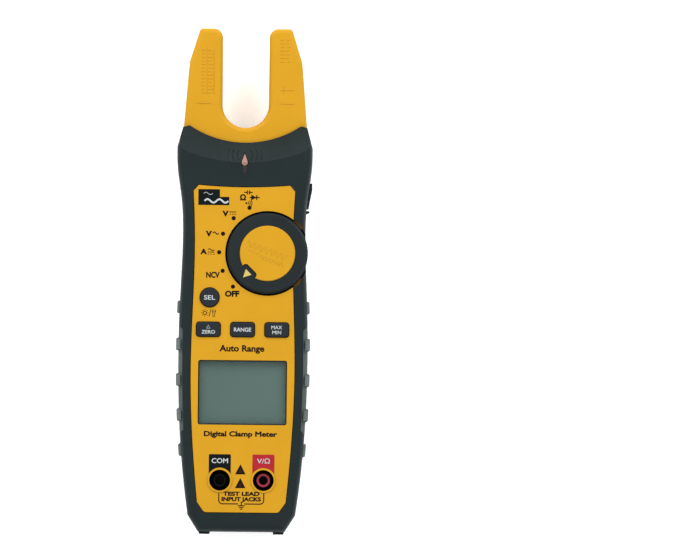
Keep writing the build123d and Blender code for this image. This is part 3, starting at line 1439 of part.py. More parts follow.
with BuildPart() as door_seal:
    with BuildSketch(level(DOOR_THICKNESS)):
        with Locations(at(0, BAY_UP)):
            RectangleRounded(TRAY_SIZE[0] + 5, TRAY_SIZE[1] + 3, 2)
            Rectangle(TRAY_SIZE[0] + 1.4, TRAY_SIZE[1] + 1.2, mode=Mode.SUBTRACT)
    extrude(amount=DOOR_RECESS - DOOR_THICKNESS - 0.05)
door_seal.part.label = "door_seal"
export_step(door_seal.part, "parts/door_seal.step")


def screw_solid(spots, head_z, head_height, tip_z, head_radius):
    """Cross-head screws at plan spots, driven in from the back."""
    with BuildPart() as screws:
        with BuildSketch(level(head_z)):
            with side_rows(spots):
                Circle(head_radius)
        extrude(amount=head_height)
        with BuildSketch(level(head_z + head_height)):
            with side_rows(spots):
                Circle(SCREW_RADIUS - 0.05)
        extrude(amount=tip_z - head_z - head_height)
        with BuildSketch(level(head_z)):
            with side_rows(spots):
                Rectangle(0.6, 1.2 * head_radius)
                Rectangle(1.2 * head_radius, 0.6)
        extrude(amount=0.4 * head_height, mode=Mode.SUBTRACT)
    return screws.part


with BuildPart() as door_screw:
    add(screw_solid(((0, DOOR_SCREW_UP),), 0.1, 0.75, 8.0, SCREW_HEAD_RADIUS - 0.2))
door_screw.part.label = "door_screw"
export_step(door_screw.part, "parts/door_screw.step")

with BuildPart() as case_screws:
    add(screw_solid(LOWER_SCREWS + UPPER_SCREWS, 2.0, 2.0, 24.0, SCREW_HEAD_RADIUS))
case_screws.part.label = "case_screws"
export_step(case_screws.part, "parts/case_screws.step")

with BuildPart() as rating_label:
    with BuildSketch(level(0.05)):
        with Locations(at(0, LABEL_UP)):
            RectangleRounded(*LABEL_SIZE, 1.5)
    extrude(amount=0.3)
rating_label.part.label = "rating_label"
export_step(rating_label.part, "parts/rating_label.step")
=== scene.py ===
from math import atan, cos, degrees, pi, radians, sin, sqrt

import bmesh
import bpy
from mathutils import Matrix, Vector


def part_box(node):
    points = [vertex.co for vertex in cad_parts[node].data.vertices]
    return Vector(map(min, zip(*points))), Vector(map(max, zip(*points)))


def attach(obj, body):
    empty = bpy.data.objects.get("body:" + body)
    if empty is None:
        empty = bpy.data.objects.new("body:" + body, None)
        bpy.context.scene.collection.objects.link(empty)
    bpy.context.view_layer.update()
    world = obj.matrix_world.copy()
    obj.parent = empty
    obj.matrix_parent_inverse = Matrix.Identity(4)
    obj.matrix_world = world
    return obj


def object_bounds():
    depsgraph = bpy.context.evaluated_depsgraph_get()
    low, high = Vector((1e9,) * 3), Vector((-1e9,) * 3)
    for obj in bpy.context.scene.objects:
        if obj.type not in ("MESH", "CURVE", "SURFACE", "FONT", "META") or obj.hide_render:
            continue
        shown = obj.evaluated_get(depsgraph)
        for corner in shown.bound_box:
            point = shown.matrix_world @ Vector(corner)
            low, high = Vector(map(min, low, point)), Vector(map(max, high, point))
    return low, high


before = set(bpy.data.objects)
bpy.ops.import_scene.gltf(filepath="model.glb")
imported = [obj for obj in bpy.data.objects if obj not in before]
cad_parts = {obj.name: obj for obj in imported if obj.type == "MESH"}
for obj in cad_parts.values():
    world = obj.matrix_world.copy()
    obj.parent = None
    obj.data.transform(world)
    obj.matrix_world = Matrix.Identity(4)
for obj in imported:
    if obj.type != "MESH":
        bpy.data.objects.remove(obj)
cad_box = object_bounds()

MM = 0.001

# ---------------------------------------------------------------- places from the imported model, shared sizes


def middle(node):
    """Centre of a node's box."""
    low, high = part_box(node)
    return (low + high) / 2


def top(node):
    """Height of a node's highest point."""
    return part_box(node)[1].z


PANEL_THICKNESS = 1.2 * MM
FACE_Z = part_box("front_panel")[0].z + PANEL_THICKNESS   # printed face of the panel
KNOB = middle("knob_cap")
FEET_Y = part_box("front_case")[0].y                       # lower end of the meter
SELECT = middle("select_button")
ZERO = middle("zero_button")
RANGE = middle("range_button")
MAXMIN = middle("maxmin_button")
WINDOW = middle("display_window")
COM = middle("com_insert")
VOLT = middle("volt_insert")
INK = 0.05 * MM           # how far printing stands proud
LEGEND = 0.03 * MM        # how far lettering and insets stand proud of the key or print under them
SUNK = 0.1 * MM           # how far printed pieces reach into the surface under them
DETENT = radians(22.5)    # angle between the selector's positions
OFF_ANGLE = radians(225.0)    # the selector's off position, anticlockwise from the right
CAP_SHARE = 0.7           # height of the built-in font's capitals in a line of size 1
DIAL = KNOB + Vector((0.0, 0.2, 0.0)) * MM     # centre of the printing round the knob

# ---------------------------------------------------------------- materials


class Nodes:
    """A node tree with short calls for the few kinds of node that the finishes use."""

    def __init__(self, name):
        self.material = bpy.data.materials.new(name)
        self.material.use_nodes = True
        self.tree = self.material.node_tree
        self.shader = self.tree.nodes["Principled BSDF"]
        self.place = self.add("ShaderNodeTexCoord").outputs["Object"]

    def add(self, kind, **settings):
        node = self.tree.nodes.new(kind)
        for key, value in settings.items():
            setattr(node, key, value)
        return node

    def link(self, source, target):
        self.tree.links.new(source, target)

    def noise(self, scale, detail=3.0, stretch=None):
        """Noise between 0 and 1, scale in features per metre, stretched along an axis if asked."""
        node = self.add("ShaderNodeTexNoise")
        node.inputs["Scale"].default_value = scale
        node.inputs["Detail"].default_value = detail
        source = self.place
        if stretch:
            mapping = self.add("ShaderNodeMapping")
            mapping.inputs["Scale"].default_value = stretch
            self.link(source, mapping.inputs["Vector"])
            source = mapping.outputs["Vector"]
        self.link(source, node.inputs["Vector"])
        return node.outputs["Fac"]

    def ranged(self, source, low, high, start=0.3, end=0.7):
        """Maps start..end of a value to low..high."""
        node = self.add("ShaderNodeMapRange")
        node.inputs["From Min"].default_value = start
        node.inputs["From Max"].default_value = end
        node.inputs["To Min"].default_value = low
        node.inputs["To Max"].default_value = high
        self.link(source, node.inputs["Value"])
        return node.outputs["Result"]

    def blend(self, factor, first, second):
        """Mixes two colours, each a socket or a plain colour."""
        node = self.add("ShaderNodeMix", data_type="RGBA")
        self.link(factor, node.inputs[0])
        for value, socket in ((first, 6), (second, 7)):
            if isinstance(value, bpy.types.NodeSocket):
                self.link(value, node.inputs[socket])
            else:
                node.inputs[socket].default_value = (*value, 1.0)
        return node.outputs[2]

    def edges(self, radius):
        """1 on edges sharper than the radius, 0 on flat faces."""
        bevel = self.add("ShaderNodeBevel", samples=4)
        bevel.inputs["Radius"].default_value = radius
        geometry = self.add("ShaderNodeNewGeometry")
        dot = self.add("ShaderNodeVectorMath", operation="DOT_PRODUCT")
        self.link(bevel.outputs["Normal"], dot.inputs[0])
        self.link(geometry.outputs["Normal"], dot.inputs[1])
        return self.ranged(dot.outputs["Value"], 1.0, 0.0, 0.80, 0.985)

    def crease_shade_mask(self, reach):
        """Mask for painted shade: 0 in grooves narrower than the reach, where shade falls, 1 on open faces."""
        crease_occlusion = self.add("ShaderNodeAmbientOcclusion", samples=6, only_local=True)
        crease_occlusion.inputs["Distance"].default_value = reach
        return self.ranged(crease_occlusion.outputs["AO"], 0.0, 1.0, 0.45, 0.85)

    def times(self, first, second):
        """The product of two values."""
        node = self.add("ShaderNodeMath", operation="MULTIPLY")
        self.link(first, node.inputs[0])
        self.link(second, node.inputs[1])
        return node.outputs["Value"]

    def bump(self, height, distance, strength=1.0, under=None):
        """Relief of a given depth, laid over another relief if asked."""
        node = self.add("ShaderNodeBump")
        node.inputs["Strength"].default_value = strength
        node.inputs["Distance"].default_value = distance
        self.link(height, node.inputs["Height"])
        if under:
            self.link(under, node.inputs["Normal"])
        return node.outputs["Normal"]

    def plain(self, **values):
        """Constants set straight on the shader's sockets."""
        for key, value in values.items():
            self.shader.inputs[key.replace("_", " ")].default_value = value


WORN_EDGE = 0.35 * MM     # radius below which an edge counts as rubbed
GLOSS_SPREAD = 0.07       # how far smears move the roughness either way
GROOVE_SHADE = 0.3        # how much of the colour is left where shade is painted into grooves


def shade(colour, amount):
    """A colour made darker or lighter."""
    return tuple(channel * amount for channel in colour)


def moulded(
    name, colour, rough, grain, depth, mottle=0.06, worn=None, wear=0.5, specular=0.5, coat=0.0, crease_shade_reach=0.0
):
    """Moulded plastic or rubber: mottling, spark-eroded grain, patchy gloss, rubbed edges, and painted shade
    that darkens grooves.
    """
    n = Nodes(name)
    patches = n.noise(55.0, 4.0)
    body = n.blend(n.ranged(patches, 0.0, 1.0), shade(colour, 1 - mottle), shade(colour, 1 + mottle))
    specks = n.noise(grain * 1.7, 2.0)
    body = n.blend(n.ranged(specks, 0.0, 0.35, 0.45, 0.75), body, shade(colour, 0.82))
    if worn:
        rubbed = n.times(n.edges(WORN_EDGE), n.ranged(n.noise(260.0, 5.0), 0.15, wear))
        body = n.blend(rubbed, body, worn)
    # painted shade: the colour is darkened in narrow grooves, where less light reaches
    if crease_shade_reach:
        body = n.blend(n.crease_shade_mask(crease_shade_reach), shade(colour, GROOVE_SHADE), body)
    n.link(body, n.shader.inputs["Base Color"])
    smears = n.noise(120.0, 5.0, (1.0, 0.45, 1.0))
    n.link(n.ranged(smears, rough - GLOSS_SPREAD, rough + GLOSS_SPREAD), n.shader.inputs["Roughness"])
    ripple = n.bump(n.noise(90.0, 2.0), 0.12 * MM, 0.35)
    n.link(n.bump(n.noise(grain, 3.0), depth * MM, 1.0, ripple), n.shader.inputs["Normal"])
    n.plain(Specular_IOR_Level=specular, Coat_Weight=coat, Coat_Roughness=0.12)
    return n.material


def metal(name, colour, rough, stretch=(1.0, 1.0, 1.0), scale=2200.0):
    """Metal with drawn or turned marks and dull patches."""
    n = Nodes(name)
    tarnish = n.noise(400.0, 4.0)
    body = n.blend(n.ranged(tarnish, 0.0, 0.5), colour, shade(colour, 0.6))
    n.link(body, n.shader.inputs["Base Color"])
    marks = n.noise(scale, 3.0, stretch)
    n.link(n.ranged(marks, rough - 0.08, rough + 0.12), n.shader.inputs["Roughness"])
    n.link(n.bump(marks, 0.01 * MM), n.shader.inputs["Normal"])
    n.plain(Metallic=1.0)
    return n.material


def printed(name, colour, rough=0.45):
    """Pad-printed ink: slightly uneven, with tiny pinholes of relief."""
    n = Nodes(name)
    uneven = n.noise(700.0, 4.0)
    body = n.blend(n.ranged(uneven, 0.0, 1.0), shade(colour, 0.9), shade(colour, 1.1))
    n.link(body, n.shader.inputs["Base Color"])
    n.link(n.ranged(n.noise(300.0), rough - 0.08, rough + 0.1), n.shader.inputs["Roughness"])
    n.link(n.bump(n.noise(3000.0, 2.0), 0.008 * MM), n.shader.inputs["Normal"])
    n.plain(Specular_IOR_Level=0.06)
    return n.material


def clear(name, colour, alpha, rough):
    """Clear moulding seen through, with faint wiping marks in its gloss."""
    n = Nodes(name)
    wipes = n.noise(160.0, 6.0, (1.0, 0.12, 1.0))
    body = n.blend(n.ranged(wipes, 0.0, 1.0), colour, shade(colour, 0.9))
    n.link(body, n.shader.inputs["Base Color"])
    n.link(n.ranged(wipes, rough, rough + 0.08), n.shader.inputs["Roughness"])
    n.link(n.bump(n.noise(35.0, 1.0), 0.03 * MM, 0.2), n.shader.inputs["Normal"])
    n.plain(Alpha=alpha, Specular_IOR_Level=0.15)
    return n.material


def lcd(name, colour):
    """Unlit display glass: a flat grey-green film with a fine column pattern and a soft unevenness."""
    n = Nodes(name)
    cloud = n.noise(30.0, 2.0)
    body = n.blend(n.ranged(cloud, 0.0, 1.0), shade(colour, 0.95), shade(colour, 1.05))
    columns = n.add("ShaderNodeTexWave", wave_type="BANDS", bands_direction="X")
    columns.inputs["Scale"].default_value = 700.0
    n.link(n.place, columns.inputs["Vector"])
    body = n.blend(n.ranged(columns.outputs["Fac"], 0.0, 0.12, 0.4, 1.0), body, shade(colour, 0.9))
    n.link(body, n.shader.inputs["Base Color"])
    n.link(n.ranged(n.noise(500.0), 0.28, 0.4), n.shader.inputs["Roughness"])
    n.link(n.bump(n.noise(5000.0, 1.0), 0.001 * MM), n.shader.inputs["Normal"])
    n.plain(Specular_IOR_Level=0.08)
    return n.material


def jack_finish(name):
    """Black moulding on the common side and deep red on the other, split at the middle of the meter."""
    n = Nodes(name)
    side = n.add("ShaderNodeSeparateXYZ")
    n.link(n.place, side.inputs["Vector"])
    right = n.ranged(side.outputs["X"], 0.0, 1.0, -1.0 * MM, 1.0 * MM)
    worn = n.noise(420.0, 4.0)
    black = n.blend(n.ranged(worn, 0.0, 1.0), (0.0012, 0.0013, 0.0030), (0.0026, 0.0028, 0.0055))
    red = n.blend(n.ranged(worn, 0.0, 1.0), (0.018, 0.002, 0.003), (0.030, 0.003, 0.005))
    n.link(n.blend(right, black, red), n.shader.inputs["Base Color"])
    n.link(n.ranged(n.noise(200.0), 0.35, 0.55), n.shader.inputs["Roughness"])
    n.link(n.bump(n.noise(1500.0), 0.015 * MM), n.shader.inputs["Normal"])
    n.plain(Specular_IOR_Level=0.04)
    return n.material


def wound(name, colour):
    """Enamelled wire laid in fine turns."""
    n = Nodes(name)
    turns = n.add("ShaderNodeTexWave", wave_type="BANDS", bands_direction="Y")
    turns.inputs["Scale"].default_value = 900.0
    n.link(n.place, turns.inputs["Vector"])
    n.link(n.blend(turns.outputs["Fac"], shade(colour, 0.5), colour), n.shader.inputs["Base Color"])
    n.link(n.bump(turns.outputs["Fac"], 0.1 * MM), n.shader.inputs["Normal"])
    n.link(n.ranged(n.noise(300.0), 0.25, 0.4), n.shader.inputs["Roughness"])
    n.plain(Metallic=0.8)
    return n.material


def board_finish(name):
    """Solder mask with faint traces under it."""
    n = Nodes(name)
    traces = n.add("ShaderNodeTexBrick")
    traces.inputs["Scale"].default_value = 180.0
    traces.inputs["Color1"].default_value = (0.012, 0.12, 0.04, 1.0)
    traces.inputs["Color2"].default_value = (0.02, 0.16, 0.06, 1.0)
    traces.inputs["Mortar"].default_value = (0.03, 0.24, 0.09, 1.0)
    n.link(n.place, traces.inputs["Vector"])
    n.link(traces.outputs["Color"], n.shader.inputs["Base Color"])
    n.link(n.bump(traces.outputs["Fac"], 0.03 * MM), n.shader.inputs["Normal"])
    n.link(n.ranged(n.noise(200.0), 0.3, 0.45), n.shader.inputs["Roughness"])
    return n.material


MOULDED = {
    "housing_rubber": dict(
        colour=(0.0055, 0.0108, 0.0114), rough=0.52, grain=1100.0, depth=0.035, mottle=0.10,
        # the last setting is the reach of the shade painted into grooves
        worn=(0.02, 0.03, 0.032), specular=0.12, crease_shade_reach=0.6 * MM,
    ),
    "grip_rubber": dict(
        colour=(0.095, 0.112, 0.110), rough=0.60, grain=800.0, depth=0.05, mottle=0.10,
        worn=(0.13, 0.145, 0.14), specular=0.15,
    ),
    "yellow_plastic": dict(
        colour=(0.385, 0.195, 0.0070), rough=0.45, grain=1500.0, depth=0.02, mottle=0.035,
        worn=(0.46, 0.28, 0.04), specular=0.1,
    ),
    # well liner: the knob well's yellow plastic painted as a darker brown copy, which stands for the shade
    # under the knob's rim
    "liner_plastic": dict(
        colour=(0.13, 0.072, 0.020), rough=0.5, grain=1200.0, depth=0.02, mottle=0.15, specular=0.1
    ),
    "knob_plastic": dict(
        colour=(0.0060, 0.0098, 0.0108), rough=0.50, grain=1300.0, depth=0.02, mottle=0.08,
        worn=(0.02, 0.03, 0.03), specular=0.14,
    ),
    "pointer_yellow": dict(
        colour=(0.40, 0.30, 0.085), rough=0.5, grain=1500.0, depth=0.01, mottle=0.05, specular=0.1
    ),
    "red_plastic": dict(
        colour=(0.22, 0.020, 0.035), rough=0.40, grain=1500.0, depth=0.01,
        worn=(0.4, 0.1, 0.12), wear=0.4, specular=0.15,
    ),
    "white_plastic": dict(colour=(0.40, 0.40, 0.38), rough=0.5, grain=1200.0, depth=0.015),
    "key_rubber": dict(
        colour=(0.0075, 0.0105, 0.0135), rough=0.55, grain=1600.0, depth=0.015, mottle=0.08,
        worn=(0.02, 0.027, 0.03), specular=0.14,
    ),
    "seal_rubber": dict(colour=(0.007, 0.007, 0.008), rough=0.7, grain=1200.0, depth=0.03, specular=0.15),
    "light_guide": dict(colour=(0.40, 0.43, 0.45), rough=0.3, grain=900.0, depth=0.01),
    "red_lens": dict(
        colour=(0.20, 0.105, 0.085), rough=0.30, grain=1500.0, depth=0.008, mottle=0.2,
        worn=(0.34, 0.22, 0.20), wear=0.6, specular=0.3, coat=0.2,
    ),
    "flex_circuit": dict(colour=(0.27, 0.13, 0.03), rough=0.3, grain=1500.0, depth=0.005),
    "chip_black": dict(colour=(0.011, 0.011, 0.012), rough=0.6, grain=2500.0, depth=0.01),
    "battery_wrap": dict(
        colour=(0.05, 0.06, 0.08), rough=0.3, grain=1000.0, depth=0.006, specular=0.3, coat=0.2
    ),
    "label_film": dict(
        colour=(0.26, 0.265, 0.27), rough=0.4, grain=1800.0, depth=0.006, mottle=0.03, specular=0.2
    ),
}
FINISHES = {name: moulded(name, **settings) for name, settings in MOULDED.items()}
FINISHES.update({
    "black_plastic": jack_finish("black_plastic"),
    "clear_window": clear("clear_window", (0.18, 0.23, 0.22), 0.05, 0.12),
    "lcd_glass": lcd("lcd_glass", (0.050, 0.084, 0.072)),
    "screw_steel": metal("screw_steel", (0.28, 0.28, 0.29), 0.34),
    "core_iron": metal("core_iron", (0.16, 0.155, 0.15), 0.45, (0.3, 0.3, 12.0), 1500.0),
    "winding_copper": wound("winding_copper", (0.36, 0.15, 0.06)),
    "board_green": board_finish("board_green"),
    "contact_gold": metal("contact_gold", (0.44, 0.30, 0.10), 0.28),
    "contact_brass": metal("contact_brass", (0.045, 0.038, 0.030), 0.45, (1.0, 1.0, 0.1)),
    "contact_nickel": metal("contact_nickel", (0.34, 0.34, 0.33), 0.25),
})
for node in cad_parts.values():
    for index, current in enumerate(node.data.materials):
        node.data.materials[index] = FINISHES[current.name.split(".")[0]]

INK_DARK = printed("ink_dark", (0.0060, 0.0028, 0.0024))
INK_BROWN = printed("ink_brown", (0.026, 0.009, 0.003))
INK_STEM = printed("ink_stem", (0.024, 0.018, 0.016))
INK_WHITE = printed("ink_white", (0.32, 0.34, 0.34))
INK_RED = printed("ink_red", (0.245, 0.013, 0.018), 0.4)
INK_BLACK = printed("ink_black", (0.0024, 0.0042, 0.0050), 0.4)

# ---------------------------------------------------------------- flat printed shapes


class Sheet:
    """Thin closed shapes collected into one piece, drawn about an origin in millimetres."""

    def __init__(self, name, origin, z, finish, body, proud=INK):
        self.name = name
        self.origin = Vector((origin[0], origin[1], 0.0))
        self.z = z
        self.finish = finish
        self.body = body
        self.proud = proud
        self.mesh = bmesh.new()

    def take(self, mesh):
        """Adds a mesh drawn with z from 0 to 1, which becomes its depth in the surface and above it."""
        height = self.proud + SUNK
        base = Matrix.Translation(self.origin + Vector((0, 0, self.z - SUNK)))
        mesh.transform(base @ Matrix.Diagonal((MM, MM, height, 1.0)))
        self.mesh.from_mesh(mesh)
        bpy.data.meshes.remove(mesh)

    def plate(self, points):
        """A filled outline."""
        shape = bmesh.new()
        low = [shape.verts.new((x, y, 0.0)) for x, y in points]
        high = [shape.verts.new((x, y, 1.0)) for x, y in points]
        shape.faces.new(list(reversed(low)))
        shape.faces.new(high)
        for i in range(len(points)):
            j = (i + 1) % len(points)
            shape.faces.new((low[i], low[j], high[j], high[i]))
        bmesh.ops.recalc_face_normals(shape, faces=shape.faces)
        mesh = bpy.data.meshes.new(self.name)
        shape.to_mesh(mesh)
        shape.free()
        self.take(mesh)

    def dot(self, x, y, radius, count=28):
        """A filled circle."""
        turns = [2 * pi * i / count for i in range(count)]
        self.plate([(x + radius * cos(turn), y + radius * sin(turn)) for turn in turns])

    def line(self, points, width, closed=False, matrix=Matrix.Identity(4)):
        """A stroke along straight runs or round a closed outline, drawn 1 wide and scaled to its width."""
        curve = bpy.data.curves.new("stroke", "CURVE")
        curve.dimensions = "3D"
        curve.bevel_depth = 0.5
        curve.bevel_resolution = 1
        curve.use_fill_caps = True
        spline = curve.splines.new("POLY")
        spline.points.add(len(points) - 1)
        for point, (x, y) in zip(spline.points, points):
            point.co = (x / width, y / width, 0.0, 1.0)
        spline.use_cyclic_u = closed
        holder = bpy.data.objects.new("stroke", curve)
        bpy.context.scene.collection.objects.link(holder)
        mesh = settled(holder)
        mesh.transform(matrix @ Matrix.Diagonal((width, width, 1.0, 1.0)) @ Matrix.Translation((0, 0, 0.5)))
        self.take(mesh)

    def words(self, text, x, y, width, cap, bold):
        """Lettering centred on a point, with a given width and capital height; bold thickens its strokes."""
        curve = bpy.data.curves.new("words", "FONT")
        curve.body = text
        curve.size = 1.0
        curve.bevel_depth = bold
        curve.bevel_resolution = 0
        curve.extrude = 0.5 - bold
        curve.resolution_u = 3
        holder = bpy.data.objects.new("words", curve)
        bpy.context.scene.collection.objects.link(holder)
        mesh = settled(holder)
        xs = [v.co.x for v in mesh.vertices]
        left, right = min(xs), max(xs)
        scale = Matrix.Diagonal((width / (right - left), cap / (CAP_SHARE + 2 * bold), 1.0, 1.0))
        mesh.transform(scale @ Matrix.Translation((-(left + right) / 2, -CAP_SHARE / 2, 0.5)))
        mesh.transform(Matrix.Translation((x, y, 0)))
        self.take(mesh)

    def finish_piece(self):
        """Makes the collected shapes one object, on its body and in its material slot."""
        mesh = bpy.data.meshes.new(self.name)
        bmesh.ops.recalc_face_normals(self.mesh, faces=self.mesh.faces)
        self.mesh.to_mesh(mesh)
        self.mesh.free()
        mesh.materials.append(self.finish)
        piece = bpy.data.objects.new(self.name, mesh)
        bpy.context.scene.collection.objects.link(piece)
        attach(piece, self.body)


def settled(holder):
    """The final mesh of a curve or text object, which is then removed."""
    bpy.context.view_layer.update()
    final = holder.evaluated_get(bpy.context.evaluated_depsgraph_get())
    mesh = bpy.data.meshes.new_from_object(final)
    bpy.data.objects.remove(holder)
    return mesh


def arc(x, y, radius, start, end, count):
    """Points along an arc, angles in degrees."""
    steps = [radians(start + (end - start) * i / count) for i in range(count + 1)]
    return [(x + radius * cos(a), y + radius * sin(a)) for a in steps]


def wave(length, height, turns=1.0, count=32):
    """Points along a sine wave centred on the origin."""
    steps = [i / count for i in range(count + 1)]
    return [(length * (step - 0.5), height * sin(2 * pi * turns * step)) for step in steps]


def moved(points, x, y):
    """Points shifted by a distance across and up."""
    return [(a + x, b + y) for a, b in points]


# ---------------------------------------------------------------- dial printing, drawn about DIAL

DOT_CIRCLE = 21.1          # radius of the ring of dots
DOT_RADIUS = 0.92
DOT_LIFT = 0.1             # how far the ring's centre is above the dial's
POSITIONS = 6              # positions of the selector, one dot each
marks = Sheet("dial_marks", DIAL, FACE_Z, INK_DARK, "housing")
for step in range(POSITIONS):
    angle = OFF_ANGLE - step * DETENT
    marks.dot(DOT_CIRCLE * cos(angle), DOT_CIRCLE * sin(angle) + DOT_LIFT, DOT_RADIUS)
marks.finish_piece()

legends = Sheet("dial_legends", DIAL, FACE_Z, INK_DARK, "housing")
legends.words("OFF", -15.25, -17.9, 6.3, 2.7, 0.055)
legends.words("NCV", -23.7, -9.75, 5.9, 2.7, 0.045)
legends.words("A", -27.85, 0.4, 2.9, 2.5, 0.06)
legends.words("V", -25.65, 8.2, 2.8, 2.5, 0.06)
legends.words("V", -18.5, 17.05, 2.8, 2.5, 0.06)
legends.words("Ω", -10.95, 24.1, 2.6, 2.6, 0.045)
legends.finish_piece()

fine = Sheet("dial_symbols", DIAL, FACE_Z, INK_BROWN, "housing")
fine.line(moved(wave(2.6, 0.5), -22.6, 8.4), 0.62)
fine.line(moved(wave(2.9, 0.4), -24.6, 1.15), 0.5)
fine.line([(-26.1, 0.15), (-23.1, 0.15)], 0.45)
for x in (-25.75, -24.6, -23.45):
    fine.line([(x - 0.3, -0.75), (x + 0.3, -0.75)], 0.45)
fine.line([(-16.8, 17.7), (-13.9, 17.7)], 0.52)
for x in (-16.45, -15.35, -14.25):
    fine.line([(x - 0.3, 16.7), (x + 0.3, 16.7)], 0.52)
fine.finish_piece()

CLUSTER = (-1.55, -1.3)    # shift of all the small symbols beside the ohm sign


def in_cluster(points):
    """Points shifted with the cluster of small symbols."""
    return moved(points, *CLUSTER)


symbols = Sheet("dial_icons", DIAL, FACE_Z, INK_DARK, "housing")
symbols.line(in_cluster([(-8.9, 27.6), (-7.5, 27.6)]), 0.62)
symbols.line(in_cluster([(-6.6, 27.6), (-5.2, 27.6)]), 0.62)
symbols.line(in_cluster([(-7.5, 26.7), (-7.5, 28.5)]), 0.6)
symbols.line(in_cluster(arc(-5.5, 27.6, 1.2, 136, 224, 8)), 0.6)
symbols.line(in_cluster([(-6.5, 25.4), (-2.1, 25.4)]), 0.6)
symbols.plate(in_cluster([(-5.8, 24.2), (-5.8, 26.6), (-3.5, 25.4)]))
symbols.line(in_cluster([(-3.4, 24.3), (-3.4, 26.5)]), 0.6)
symbols.dot(-7.9 + CLUSTER[0], 22.9 + CLUSTER[1], 0.42, 16)
for radius in (0.95, 1.7, 2.45):
    symbols.line(in_cluster(arc(-7.9, 22.9, radius, -38, 38, 8)), 0.44)
symbols.finish_piece()

# ---------------------------------------------------------------- badge in the top corner: a generic wave

BADGE = (-25.7, 24.1)
BADGE_OUTLINE = ((-4.7, 3.45), (-4.7, -3.45), (8.8, -3.45), (8.8, 0.15), (4.7, 0.15), (4.7, 3.45))
badge = Sheet("badge_block", DIAL, FACE_Z, INK_BLACK, "housing")
badge.plate(moved(BADGE_OUTLINE, *BADGE))
badge.finish_piece()
badge_wave = Sheet("badge_wave", DIAL, FACE_Z + INK, INK_WHITE, "housing", proud=LEGEND)
badge_wave.line(moved(wave(10.4, 0.75, 2.0, 64), BADGE[0] + 3.2, BADGE[1] - 1.65), 1.1)
badge_wave.line(moved(wave(4.0, 0.5), BADGE[0] - 0.4, BADGE[1] + 1.6), 0.3)
badge_wave.finish_piece()

# ---------------------------------------------------------------- light and torch icons under the select key

icons = Sheet("light_icons", (SELECT.x, SELECT.y), FACE_Z, INK_BROWN, "housing")
ICONS = (-0.5, -6.8)       # middle of the two icons, from the key's centre
SUN_X = -1.5
RAYS = 8
TORCH = (
    (1.65, 1.3), (3.15, 1.3), (3.15, 0.6), (2.8, 0.1),
    (2.8, -1.5), (2.0, -1.5), (2.0, 0.1), (1.65, 0.6),
)
icons.line(moved(arc(SUN_X, 0.0, 0.75, 0, 330, 11), *ICONS), 0.45, True)
for i in range(RAYS):
    a = 2 * pi * i / RAYS
    ray = [(SUN_X + reach * cos(a), reach * sin(a)) for reach in (1.15, 1.6)]
    icons.line(moved(ray, *ICONS), 0.4)
icons.line(moved([(0.35, -1.5), (1.05, 1.5)], *ICONS), 0.4)
icons.line(moved(TORCH, *ICONS), 0.4, True)
icons.line(moved([(1.65, 0.6), (3.15, 0.6)], *ICONS), 0.26)
icons.finish_piece()

# ---------------------------------------------------------------- captions above and below the display

captions = Sheet("panel_captions", (WINDOW.x, WINDOW.y), FACE_Z, INK_DARK, "housing")
captions.words("Auto Range", -0.4, 19.3, 19.6, 2.9, 0.035)
captions.words("Digital Clamp Meter", -0.6, -18.0, 32.0, 2.35, 0.04)
captions.finish_piece()

# ---------------------------------------------------------------- jack labels, drawn about each jack

LABEL_HALF = 4.8           # half the width of a label
LABEL_TOP = 11.3           # height of its upper edge over the jack's centre
LABEL_CORNER = 0.6
COLLAR = 5.5               # radius left free round each jack
LABEL_WORDS_Y = 8.5


def jack_label(name, centre, finish):
    """A block over a jack whose lower edge follows the jack's collar."""
    side = sqrt(COLLAR**2 - LABEL_HALF**2)
    angle = degrees(atan(side / LABEL_HALF))
    outline = arc(0, 0, COLLAR, angle, 180 - angle, 20)
    corner_x, corner_y = LABEL_HALF - LABEL_CORNER, LABEL_TOP - LABEL_CORNER
    outline += arc(-corner_x, corner_y, LABEL_CORNER, 180, 90, 5)
    outline += arc(corner_x, corner_y, LABEL_CORNER, 90, 0, 5)
    sheet = Sheet(name, centre, FACE_Z, finish, "housing")
    sheet.plate(outline)
    sheet.finish_piece()


jack_label("com_label", COM, INK_BLACK)
jack_label("volt_label", VOLT, INK_RED)
com_words = Sheet("com_words", COM, FACE_Z + INK, INK_WHITE, "housing", proud=LEGEND)
com_words.words("COM", 0.0, LABEL_WORDS_Y, 7.2, 2.2, 0.02)
com_words.finish_piece()
volt_words = Sheet("volt_words", VOLT, FACE_Z + INK, INK_WHITE, "housing", proud=LEGEND)
volt_words.words("V/Ω", 0.0, LABEL_WORDS_Y, 5.6, 2.1, 0.01)
volt_words.finish_piece()

# ---------------------------------------------------------------- triangles and bracket between the jacks

between = (COM + VOLT) / 2
triangles = Sheet("jack_triangles", between, FACE_Z, INK_DARK, "housing")
inner = Sheet("jack_triangle_insets", between, FACE_Z + INK, INK_BROWN, "housing", proud=LEGEND)
TRIANGLE_X = -0.5
for centre_y in (4.8, -1.2):
    triangles.plate(moved(((-2.3, -2.2), (2.3, -2.2), (0.0, 2.2)), TRIANGLE_X, centre_y))
    inner.plate(moved(((-0.6, -1.5), (0.6, -1.5), (0.0, 0.6)), TRIANGLE_X, centre_y))
triangles.finish_piece()
inner.finish_piece()

